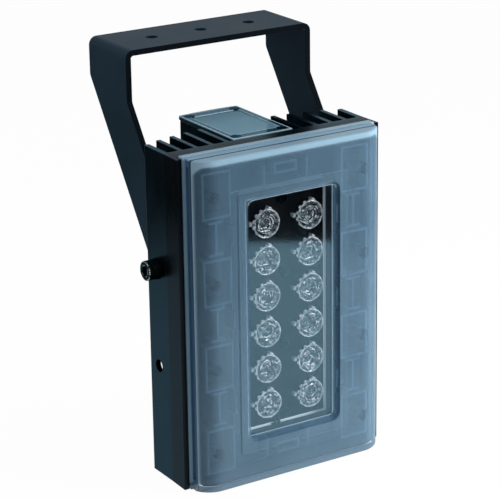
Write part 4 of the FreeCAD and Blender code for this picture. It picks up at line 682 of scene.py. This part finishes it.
def black_board():
    """Aluminium cored board under black solder mask: faint tracks under a soft gloss, and a pale edge."""
    material, place = blank("solder_mask_black")
    tracks = add(material, "ShaderNodeTexVoronoi", {
        "Vector": place, "Scale": per_metre(7.0)},
        distance="CHEBYCHEV", feature="DISTANCE_TO_EDGE").outputs[0]
    relief = add(material, "ShaderNodeBump", {"Height": tracks, "Distance": TRACK_RELIEF})
    masked = inside_plate(material, place, BOARD_MASK_HALF, BOARD_MASK_CORNER, CRISP)
    mask = two_tone(material, tracks, ("#05080b", "#0a0e12"), (0.0, 0.1))
    colour = add(material, "ShaderNodeMix", {
        "Factor": masked, MIX_A: srgb("#eef4f8"), MIX_B: mask}, data_type="RGBA")
    return output(material, add(material, "ShaderNodeBsdfPrincipled", {
        "Base Color": colour.outputs[MIXED], "Roughness": 0.32, "Specular IOR Level": 0.1,
        "Normal": relief.outputs[0]}))


def lit_chip():
    """Power light source: a muted yellow phosphor square on pale ceramic under a clear silicone dome."""
    material, place = blank("phosphor_on_ceramic")
    sides = [add(material, "ShaderNodeMath", {0: way}, operation="ABSOLUTE").outputs[0]
             for way in from_lens_axis(material, place)]
    colour = two_tone(material, most(material, *sides), ("#8f7f48", "#7e868a"), CHIP_EDGE)
    return output(material, add(material, "ShaderNodeBsdfPrincipled", {
        "Base Color": colour, "Roughness": 0.22, "Coat Weight": 0.5, "Coat Roughness": 0.08}))


FINISHES = {
    "anodised_black": anodised_profile(),
    "powder_black": powder_coat(),
    "screw_black": black_oxide(),
    "screw_steel": ZINC,
    "plastic_black": NYLON,
    "rubber_black": RUBBER,
    "board_green": GREEN_BOARD,
    "ferrite": FERRITE,
    "can_aluminium": SLEEVE,
    "terminal_green": TERMINAL,
    "friction_fibre": FIBRE,
    "cover_clear": frosted_cover(),
    "cap_smoke": smoked_cap(),
    "lens_clear": clear_lens(),
    "frame_grey": pale_frame(),
    "board_black": black_board(),
    "led_amber": lit_chip(),
}


def dress_nodes():
    """Each node of the model takes the finish of its material slot."""
    for entry in frame["record"]["subparts"]:
        piece = frame["nodes"][entry["node"]]
        piece.data.materials.clear()
        piece.data.materials.append(FINISHES[entry["material_slot"]])


def turned_piece(name, steps, sides):
    """Turned shape about the upright through the world's origin, from steps of radius and height in mm."""
    bpy.ops.object.select_all(action="DESELECT")
    radius, height = steps[0]
    bpy.ops.mesh.primitive_circle_add(
        vertices=sides, radius=radius / 1000, fill_type="NGON", location=(0, 0, height / 1000))
    bpy.ops.object.transform_apply(location=True)
    bpy.ops.object.mode_set(mode="EDIT")
    for (radius, height), (wider, higher) in zip(steps, steps[1:]):
        bpy.ops.mesh.extrude_region_move(TRANSFORM_OT_translate={"value": (0, 0, (higher - height) / 1000)})
        grow = wider / radius
        bpy.ops.transform.resize(value=(grow, grow, 1), center_override=(0, 0, 0))
    bpy.ops.mesh.select_mode(type="EDGE")
    bpy.ops.mesh.select_all(action="DESELECT")
    bpy.ops.mesh.select_non_manifold()
    bpy.ops.mesh.edge_face_add()
    bpy.ops.mesh.select_all(action="SELECT")
    bpy.ops.mesh.normals_make_consistent(inside=False)
    bpy.ops.object.mode_set(mode="OBJECT")
    bpy.context.object.name = name
    return bpy.context.object


def sort_mesh(piece):
    """Points, edges and faces in order of place, because an extrusion's own order changes from run to run."""
    mesh = bmesh.new()
    mesh.from_mesh(piece.data)
    for index, point in enumerate(sorted(mesh.verts, key=lambda point: tuple(point.co))):
        point.index = index
    mesh.verts.sort()
    for parts in (mesh.edges, mesh.faces):
        in_order = sorted(parts, key=lambda part: sorted(point.index for point in part.verts))
        for index, part in enumerate(in_order):
            part.index = index
        parts.sort()
    mesh.to_mesh(piece.data)
    mesh.free()


def collimator():
    """One lens: cratered face with a bulb in it, a stepped cone below, beads round the rim and tabs."""
    lens = turned_piece("collimator", LENS_STEPS, LENS_SIDES)
    bpy.ops.object.mode_set(mode="EDIT")
    for index in range(BEAD_COUNT):
        angle = 2 * math.pi * index / BEAD_COUNT
        place = (BEAD_CIRCLE * math.cos(angle), BEAD_CIRCLE * math.sin(angle), BEAD_HEIGHT)
        bpy.ops.mesh.primitive_uv_sphere_add(
            segments=BEAD_SEGMENTS, ring_count=BEAD_RINGS, radius=BEAD_RADIUS, location=place)
        bpy.ops.transform.resize(value=(1, 1, BEAD_SQUASH), center_override=place)
    for index in range(TAB_COUNT):
        angle = math.pi + 2 * math.pi * index / TAB_COUNT
        place = (TAB_CIRCLE * math.cos(angle), TAB_CIRCLE * math.sin(angle), TAB_HEIGHT)
        bpy.ops.mesh.primitive_cube_add(size=1.0, location=place)
        bpy.ops.transform.resize(value=TAB_SIZE, center_override=place)
        bpy.ops.transform.rotate(value=-angle, orient_axis="Z", center_override=place)
    bpy.ops.object.mode_set(mode="OBJECT")
    soften = lens.modifiers.new("rounded", "BEVEL")
    soften.width = EDGE_ROUND
    soften.segments = 2
    soften.limit_method = "ANGLE"
    soften.angle_limit = ROUNDED_FROM
    bpy.ops.object.modifier_apply(modifier=soften.name)
    sort_mesh(lens)
    bpy.ops.object.shade_smooth_by_angle(angle=SMOOTH_UP_TO)
    return lens


def set_lenses():
    """The lens copied to its twelve places, row by row from the top, facing the front."""
    first = collimator()
    to_front = Matrix.Rotation(math.radians(90), 4, "X")
    for index in range(LENS_ROWS * LENS_COLUMNS):
        row, column = divmod(index, LENS_COLUMNS)
        rise = ((LENS_ROWS - 1) / 2 - row) * LENS_PITCH
        place = Vector((LENS_SIDE * (2 * column - 1), BOARD_Y, MIDDLE.z + rise))
        lens = first.copy()
        lens.data = first.data.copy()
        bpy.context.collection.objects.link(lens)
        lens.data.transform(Matrix.Translation(place) @ to_front)
        lens.name = "collimator_%02d" % (index + 1)
        lens.data.materials.append(FINISHES["lens_clear"])
        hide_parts("led_optic_%02d" % (index + 1))
        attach(lens, "lamp")
    bpy.data.objects.remove(first)


def seen_white(material, usual, white, share):
    """A white glow in what the camera, mirrors and glass see, and none in what lights the object."""
    path = add(material, "ShaderNodeLightPath").outputs
    rays = (path["Is Camera Ray"], path["Is Glossy Ray"], path["Is Transmission Ray"])
    seen = add(material, "ShaderNodeMath", {
        0: most(material, *rays), 1: share}, operation="MULTIPLY").outputs[0]
    return add(material, "ShaderNodeMixShader", {0: seen, 1: usual.outputs[0], 2: white.outputs[0]})


def plate(name, size, centre, turn, material):
    """A flat piece of the studio."""
    bpy.ops.mesh.primitive_plane_add(size=1.0, location=centre, rotation=(0, 0, turn))
    made = bpy.context.object
    made.scale = (size[0], size[1], 1)
    made.name = name
    made.data.materials.append(material)
    return made


def set_studio():
    """Pale floor, white surroundings, five soft lamps and two dark cards that only mirrors see."""
    floor = blank("studio_floor")[0]
    paper = add(floor, "ShaderNodeBsdfDiffuse", {"Color": srgb("#f0f0f0")})
    glow = add(floor, "ShaderNodeEmission", {"Color": (1, 1, 1, 1), "Strength": 1.0})
    output(floor, seen_white(floor, paper, glow, FLOOR_GLOW))
    plate("floor", (FLOOR_SIZE, FLOOR_SIZE), (0, 0, 0), 0, floor)

    velvet = blank("studio_card")[0]
    output(velvet, add(velvet, "ShaderNodeBsdfDiffuse", {"Color": srgb("#020203")}))
    for name, size, centre, turn in CARDS:
        card = plate(name, size, centre, turn, velvet)
        card.visible_camera = False
        card.visible_diffuse = False

    world = bpy.data.worlds.new("studio")
    bpy.context.scene.world = world
    world.use_nodes = True
    world.node_tree.nodes.clear()
    plain = add(world, "ShaderNodeBackground", {"Color": srgb("#f4f7fa"), "Strength": WORLD_LIGHT})
    white = add(world, "ShaderNodeBackground", {"Color": (1, 1, 1, 1), "Strength": 1.0})
    add(world, "ShaderNodeOutputWorld", {"Surface": seen_white(world, plain, white, 1.0).outputs[0]})

    for name, (power, size, spot) in LAMPS.items():
        lamp = bpy.data.lights.new(name, "AREA")
        lamp.energy = power
        lamp.size = size
        made = bpy.data.objects.new(name, lamp)
        made.location = spot
        made.rotation_euler = (CAMERA_TARGET - spot).to_track_quat("-Z", "Y").to_euler()
        made.visible_camera = False
        made.visible_glossy = name != NOT_MIRRORED
        bpy.context.collection.objects.link(made)


def set_camera():
    """Camera at the photo's viewpoint, from its yaw, pitch and roll about the target."""
    yaw, pitch, roll = (math.radians(a) for a in (CAMERA_YAW, CAMERA_PITCH, CAMERA_ROLL))
    ahead = Vector((math.sin(yaw) * math.cos(pitch), math.cos(yaw) * math.cos(pitch), -math.sin(pitch)))
    right = Vector((math.cos(yaw), -math.sin(yaw), 0))
    down = ahead.cross(right)
    across = math.cos(roll) * right + math.sin(roll) * down
    up = math.sin(roll) * right - math.cos(roll) * down
    lens = bpy.data.cameras.new("camera")
    lens.lens = CAMERA_LENS
    lens.sensor_width = CAMERA_SENSOR
    made = bpy.data.objects.new("camera", lens)
    turned = Matrix((across, up, -ahead)).transposed().to_4x4()
    made.matrix_world = Matrix.Translation(CAMERA_TARGET - CAMERA_DISTANCE * ahead) @ turned
    bpy.context.collection.objects.link(made)
    bpy.context.scene.camera = made


dress_nodes()
set_lenses()
set_studio()
set_camera()
bpy.context.scene.view_settings.view_transform = "Standard"
